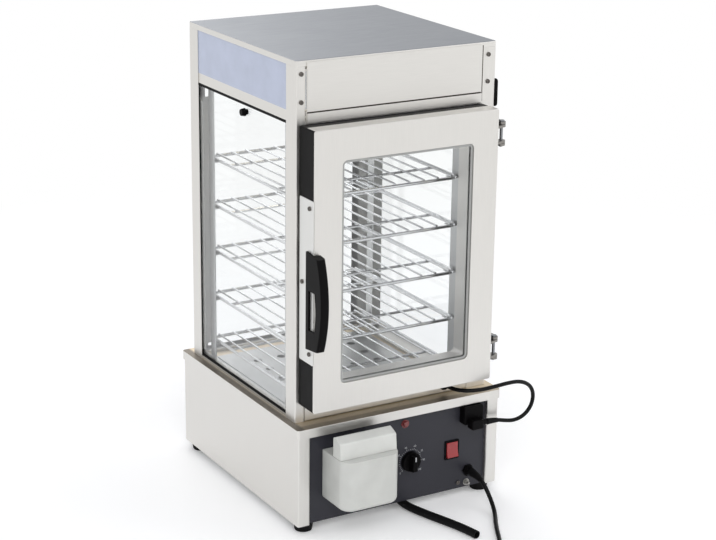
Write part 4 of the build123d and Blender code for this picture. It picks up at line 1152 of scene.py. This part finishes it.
class STEAMER_OT_stage(bpy.types.Operator):
    """Lay the pale floor and hang the studio lights"""

    bl_idname = "steamer.stage"
    bl_label = "Studio"

    def execute(self, context):
        deselect()
        bpy.ops.mesh.primitive_plane_add(size=FLOOR_WIDTH, location=(0, 0, 0))
        floor = context.object
        floor.name = "studio_floor"
        material, tree, shader, place = new_material("painted_floor_white", Roughness=0.75)
        # Scuffs nearly a metre across
        scuffs = add_node(tree, "ShaderNodeTexNoise", {"Vector": place, "Scale": 1.2, "Detail": 2.0})
        tone = add_node(
            tree,
            "ShaderNodeMix",
            {0: scuffs.outputs["Fac"], 6: linear("#FCFCFC"), 7: linear("#FFFFFF")},
            data_type="RGBA",
        )
        tree.links.new(tone.outputs[2], shader.inputs["Base Color"])
        shader.inputs["Specular IOR Level"].default_value = 0.1
        # White to the camera and in reflections: a little glow near the object, where its shadow
        # stays, and plain white farther out
        path = add_node(tree, "ShaderNodeLightPath").outputs
        seen = path["Is Camera Ray"]
        for ray in ("Is Glossy Ray", "Is Transmission Ray"):
            either = add_node(tree, "ShaderNodeMath", {0: seen, 1: path[ray]}, operation="MAXIMUM")
            seen = either.outputs["Value"]
        glow = add_node(tree, "ShaderNodeMath", {0: seen, 1: FLOOR_GLOW}, operation="MULTIPLY")
        tree.links.new(glow.outputs["Value"], shader.inputs["Emission Strength"])
        shader.inputs["Emission Color"].default_value = (1, 1, 1, 1)
        away = add_node(tree, "ShaderNodeVectorMath", {0: place}, operation="LENGTH")
        far = add_node(
            tree,
            "ShaderNodeMapRange",
            {"Value": away.outputs["Value"], "From Min": WHITE_FROM, "From Max": WHITE_AT},
        )
        share = add_node(tree, "ShaderNodeMath", {0: far.outputs["Result"], 1: seen}, operation="MULTIPLY")
        plain = add_node(tree, "ShaderNodeEmission", {"Color": (1, 1, 1, 1), "Strength": 1.0})
        mixed = add_node(
            tree,
            "ShaderNodeMixShader",
            {0: share.outputs["Value"], 1: shader.outputs["BSDF"], 2: plain.outputs["Emission"]},
        )
        tree.links.new(mixed.outputs["Shader"], tree.nodes["Material Output"].inputs["Surface"])
        floor.data.materials.append(material)
        world = bpy.data.worlds.new("studio")
        world.use_nodes = True
        context.scene.world = world
        sky = world.node_tree
        background = sky.nodes["Background"]
        # A white room with a darker ceiling, so that the top reads darker than the sides
        direction = add_node(sky, "ShaderNodeTexCoord").outputs["Generated"]
        height = add_node(sky, "ShaderNodeSeparateXYZ", {"Vector": direction})
        ceiling = add_node(
            sky, "ShaderNodeMapRange", {"Value": height.outputs["Z"], "From Min": 0.2, "From Max": 0.6}
        )
        tone = add_node(
            sky,
            "ShaderNodeMix",
            {0: ceiling.outputs["Result"], 6: linear("#FFFFFF"), 7: linear("#DADBDE")},
            data_type="RGBA",
        )
        sky.links.new(tone.outputs[2], background.inputs["Color"])
        background.inputs["Strength"].default_value = 1.0
        for name, place, size, power in LAMPS:
            bpy.ops.object.light_add(type="AREA", location=place)
            light = context.object
            light.name = name
            light.data.size = size
            light.data.energy = power
            aim = Vector(LAMP_AIM) - Vector(place)
            light.rotation_euler = aim.to_track_quat("-Z", "Y").to_euler()
        context.scene.view_settings.view_transform = "Standard"
        return {"FINISHED"}


class STEAMER_PT_panel(bpy.types.Panel):
    """Lists the steamer's pieces, sizes and colours"""

    bl_idname = "STEAMER_PT_panel"
    bl_label = "Steamer"
    bl_space_type = "VIEW_3D"
    bl_region_type = "UI"
    bl_category = "Steamer"

    def draw(self, context):
        layout = self.layout
        for operator in OPERATORS:
            layout.operator(operator.bl_idname)
        for group in (context.scene.steamer_sizes, context.scene.steamer_colours):
            for name in group.bl_rna.properties.keys():
                if name not in ("rna_type", "name"):
                    layout.prop(group, name)


OPERATORS = (
    STEAMER_OT_camera,
    STEAMER_OT_mains_cord,
    STEAMER_OT_light_lead,
    STEAMER_OT_drain_hose,
    STEAMER_OT_steel,
    STEAMER_OT_glazing,
    STEAMER_OT_boiler,
    STEAMER_OT_tank,
    STEAMER_OT_controls,
    STEAMER_OT_door,
    STEAMER_OT_hinges,
    STEAMER_OT_racks,
    STEAMER_OT_light_box,
    STEAMER_OT_screws,
    STEAMER_OT_stage,
)
GROUPS = (SteamerColours, SteamerSizes)


def register():
    for thing in (*GROUPS, *OPERATORS, STEAMER_PT_panel):
        bpy.utils.register_class(thing)
    bpy.types.Scene.steamer_colours = bpy.props.PointerProperty(type=SteamerColours)
    bpy.types.Scene.steamer_sizes = bpy.props.PointerProperty(type=SteamerSizes)


def unregister():
    del bpy.types.Scene.steamer_colours
    del bpy.types.Scene.steamer_sizes
    for thing in (STEAMER_PT_panel, *reversed(OPERATORS), *reversed(GROUPS)):
        bpy.utils.unregister_class(thing)


def main():
    register()
    for operator in OPERATORS:
        group, name = operator.bl_idname.split(".")
        getattr(getattr(bpy.ops, group), name)()


if __name__ == "__main__":
    main()
